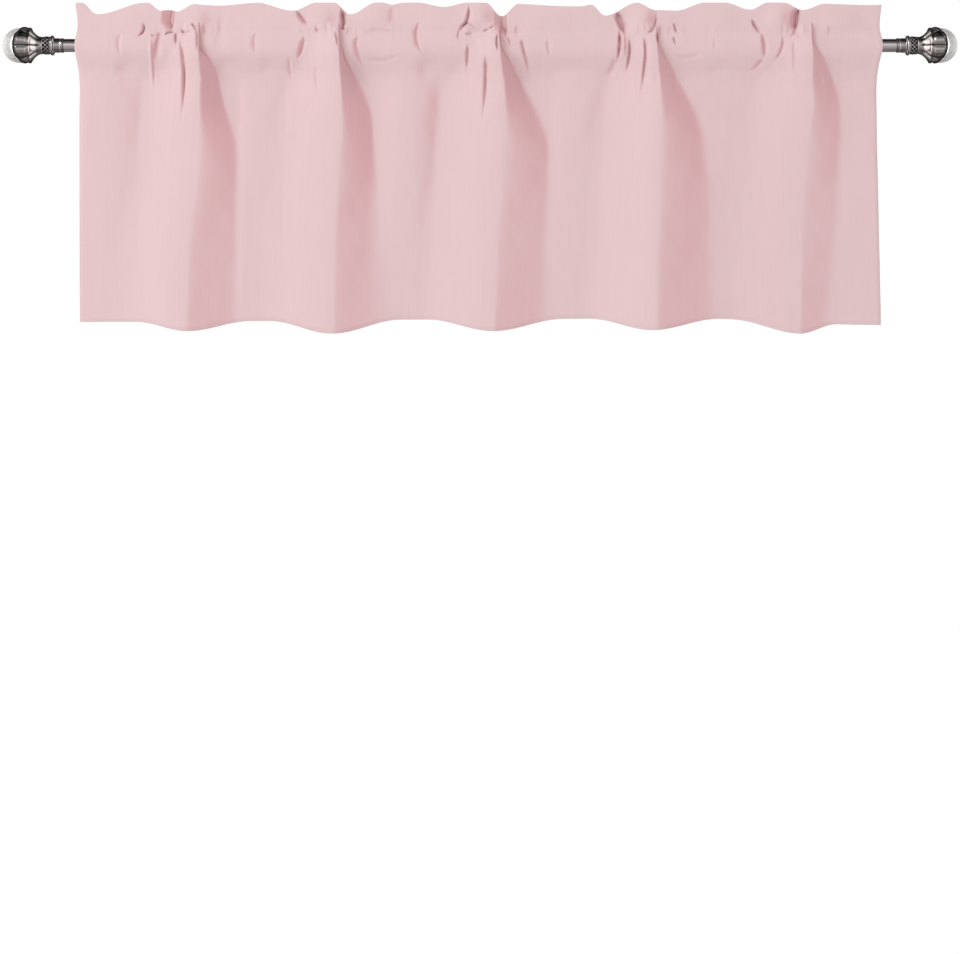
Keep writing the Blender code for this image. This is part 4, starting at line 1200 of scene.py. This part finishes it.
# ------------------------------------------------------------------ operators
class VALANCE_OT_cloth(bpy.types.Operator):
    """Hangs the gathered cloth on the rod"""
    bl_idname = "valance.cloth"
    bl_label = "Gathered cloth"

    def execute(self, context):
        settings = context.scene.valance_cloth
        points, flat = cloth_grid(settings.width, settings.layer, settings.columns)
        rows, columns = points.shape[:2]
        piece = mesh_piece("gathered_cloth", points.reshape(-1, 3), grid_faces(rows, columns),
                           plain_woven_polyester(settings.colour),
                           ["valance_cloth"], flat)
        # Paints shade into the cloth's colour on its steep sides and in its creases.
        paint(piece, "painted_fold_shade", painted_fold_shade(points))
        return {"FINISHED"}


class VALANCE_OT_stitching(bpy.types.Operator):
    """Sews the two seams of the rod pocket"""
    bl_idname = "valance.stitching"
    bl_label = "Pocket stitching"

    def execute(self, context):
        settings = context.scene.valance_cloth
        points, faces = stitch_mesh(settings.width, settings.layer)
        mesh_piece("pocket_stitching", points, faces, spun_thread(settings.colour))
        return {"FINISHED"}


class VALANCE_OT_rod(bpy.types.Operator):
    """Finishes the rod"""
    bl_idname = "valance.rod"
    bl_label = "Curtain rod"

    def execute(self, context):
        settings = context.scene.valance_rod
        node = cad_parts["curtain_rod"]
        node.data.materials.clear()
        node.data.materials.append(plated_gunmetal("plated_gunmetal", settings.metal,
                                                   settings.metal))
        return {"FINISHED"}


class VALANCE_OT_finials(bpy.types.Operator):
    """Sets a neck, a petalled cup and a glass ball on each end of the rod"""
    bl_idname = "valance.finials"
    bl_label = "Finials"

    def execute(self, context):
        settings = context.scene.valance_rod
        metal = plated_gunmetal("antiqued_gunmetal", settings.antique, settings.worn)
        glass = crackle_glass(settings.glass)
        plain_neck = turned_grid(neck_profile(), NECK_SIDES)
        neck = turned_grid(neck_profile(), NECK_SIDES, lattice_radius)
        cut = np.linalg.norm(plain_neck - neck, axis=-1)
        black = ramp(cut, 0.0, LATTICE_GROOVE / 2)
        neck_dark = PLAIN_METAL + (1 - PLAIN_METAL) * black
        cup, cup_dark = cup_grid()
        ball, glare = ball_grid()
        for side, turned in (("left", True), ("right", False)):
            for name, grid, dark, x, material, slot in (
                    ("finial_neck", neck, neck_dark, NECK_LOW.x, metal, "rod_metal"),
                    ("finial_cup", cup, cup_dark, CUP_LOW.x, metal, "rod_metal"),
                    ("glass_ball", ball, glare, CUP_LOW.x + BALL_CENTRE, glass, "ball_glass")):
                piece = mesh_piece(f"{side}_{name}_form", placed(grid, x, turned),
                                   capped_faces(*grid.shape[:2]), material,
                                   [f"{name}_{side}"])
                # On the metal this is the patina; on the ball it is a white highlight painted
                # along the cup's rim.
                paint(piece, "patina_and_painted_glare", dark)
        return {"FINISHED"}


class VALANCE_OT_studio(bpy.types.Operator):
    """Sets the camera, the pale floor and the soft lights"""
    bl_idname = "valance.studio"
    bl_label = "Studio"

    def execute(self, context):
        settings = context.scene.valance_studio
        add_camera(settings.camera_distance, settings.metres_per_pixel)
        add_floor(settings.floor_drop)
        add_lights()
        return {"FINISHED"}


# --------------------------------------------------------------------- studio
def add_camera(distance, metres_per_pixel):
    """A level camera at the valance's middle, shifted so that it sits high in the picture."""
    data = bpy.data.cameras.new("front_camera")
    data.sensor_width = SENSOR_WIDTH
    data.lens = SENSOR_WIDTH * distance / (PICTURE_WIDTH * metres_per_pixel)
    data.shift_y = -(PICTURE_HEIGHT / 2 - VALANCE_MIDDLE_ROW) / PICTURE_WIDTH
    data.clip_end = CAMERA_REACH
    camera = bpy.data.objects.new("front_camera", data)
    camera.location = (0, -distance, (ROD_ROW - VALANCE_MIDDLE_ROW) * metres_per_pixel)
    camera.rotation_euler = (math.pi / 2, 0, 0)
    bpy.context.scene.collection.objects.link(camera)
    bpy.context.scene.camera = camera


def add_floor(drop):
    """A round pale floor that curves up into a low wall all round, matt and unmirrored."""
    flat = FLOOR_REACH - FLOOR_BEND
    profile = [(FLOOR_MIDDLE, 0.0), (FLOOR_REACH / 2, 0.0), (flat, 0.0)]
    for angle in np.linspace(0, math.pi / 2, BEND_STEPS + 1)[1:]:
        profile.append((flat + FLOOR_BEND * math.sin(angle),
                        FLOOR_BEND - FLOOR_BEND * math.cos(angle)))
    profile.append((FLOOR_REACH, WALL_HEIGHT))
    turn = 2 * np.pi * np.arange(FLOOR_SIDES) / FLOOR_SIDES
    points = [(radius * math.cos(angle), radius * math.sin(angle), height - drop)
              for radius, height in profile for angle in turn]
    faces = [face[::-1] for face in grid_faces(len(profile), FLOOR_SIDES, closed=True)]
    faces.append(tuple(range(FLOOR_SIDES)))
    data = bpy.data.meshes.new("studio_floor")
    data.from_pydata(points, [], faces)
    data.shade_smooth()
    material, tree = new_material("pale_studio_paper")
    shader = add_node(tree, "ShaderNodeBsdfPrincipled", None, {
        "Base Color": (0.98, 0.98, 0.98, 1.0), "Roughness": 0.9,
        "Emission Color": (1.0, 1.0, 1.0, 1.0), "Emission Strength": PAPER_GLOW})
    add_node(tree, "ShaderNodeOutputMaterial", None, {"Surface": shader.outputs[0]})
    data.materials.append(material)
    floor = bpy.data.objects.new("studio_floor", data)
    floor.visible_glossy = False
    bpy.context.scene.collection.objects.link(floor)


def add_lights():
    """White surroundings and one large soft light high on the left of the camera."""
    scene = bpy.context.scene
    world = bpy.data.worlds.new("studio_air")
    world.use_nodes = True
    world.node_tree.nodes.clear()
    tree = world.node_tree
    place = add_node(tree, "ShaderNodeTexCoord")
    split = add_node(tree, "ShaderNodeSeparateXYZ", None, {"Vector": place.outputs["Generated"]})
    height = add_node(tree, "ShaderNodeMapRange", None, {
        "Value": split.outputs["Z"], "From Min": -1.0, "From Max": 1.0})
    room = add_node(tree, "ShaderNodeValToRGB", None, {"Fac": height.outputs["Result"]})
    brightest = max(glow for _, glow in ROOM_GLOW)
    set_stops(room, [((sine + 1) / 2, [glow / brightest] * 3) for sine, glow in ROOM_GLOW])
    sideways = add_node(tree, "ShaderNodeMath", {"operation": "ABSOLUTE"}, {
        0: split.outputs["X"]})
    window = add_node(tree, "ShaderNodeMapRange", None, {
        "Value": sideways.outputs[0], "From Min": WINDOW_START, "From Max": WINDOW_FULL,
        "To Max": WINDOW_GLOW})
    ray = add_node(tree, "ShaderNodeLightPath")
    mirrored = add_node(tree, "ShaderNodeMath", {"operation": "MULTIPLY_ADD"}, {
        0: room.outputs["Color"], 1: brightest, 2: window.outputs["Result"]})
    glow = add_node(tree, "ShaderNodeMix", None, {
        "Factor": ray.outputs["Is Glossy Ray"], "A": AIR_GLOW, "B": mirrored.outputs[0]})
    air = add_node(tree, "ShaderNodeBackground", None, {
        "Color": (1.0, 1.0, 1.0, 1.0), "Strength": glow.outputs["Result"]})
    add_node(tree, "ShaderNodeOutputWorld", None, {"Surface": air.outputs["Background"]})
    scene.world = world
    scene.view_settings.view_transform = "Standard"
    data = bpy.data.lights.new("key_left", "AREA")
    data.size = KEY_SIZE
    data.energy = KEY_POWER
    lamp = bpy.data.objects.new("key_left", data)
    lamp.location = KEY_PLACE
    lamp.rotation_euler = (-lamp.location).to_track_quat("-Z", "Y").to_euler()
    scene.collection.objects.link(lamp)


class VALANCE_PT_panel(bpy.types.Panel):
    """Lists the valance's steps in the sidebar"""
    bl_label = "Valance"
    bl_idname = "VALANCE_PT_panel"
    bl_space_type = "VIEW_3D"
    bl_region_type = "UI"
    bl_category = "Valance"

    def draw(self, context):
        for name in SETTINGS:
            group = getattr(context.scene, name)
            box = self.layout.box()
            for key in group.__annotations__:
                box.prop(group, key)
        for operator in STEPS:
            self.layout.operator(operator.bl_idname)


SETTINGS = {"valance_cloth": ValanceCloth, "valance_rod": ValanceRod,
            "valance_studio": ValanceStudio}
STEPS = (VALANCE_OT_cloth, VALANCE_OT_stitching, VALANCE_OT_rod, VALANCE_OT_finials,
         VALANCE_OT_studio)


def register():
    """Registers the settings, the steps and the panel."""
    for item in (*SETTINGS.values(), *STEPS, VALANCE_PT_panel):
        bpy.utils.register_class(item)
    for name, group in SETTINGS.items():
        setattr(bpy.types.Scene, name, PointerProperty(type=group))


def unregister():
    """Takes everything that register added out again."""
    for name in SETTINGS:
        delattr(bpy.types.Scene, name)
    for item in reversed((*SETTINGS.values(), *STEPS, VALANCE_PT_panel)):
        bpy.utils.unregister_class(item)


def main():
    """Builds every piece and the studio."""
    register()
    bpy.ops.valance.cloth()
    bpy.ops.valance.stitching()
    bpy.ops.valance.rod()
    bpy.ops.valance.finials()
    bpy.ops.valance.studio()


if __name__ == "__main__":
    main()
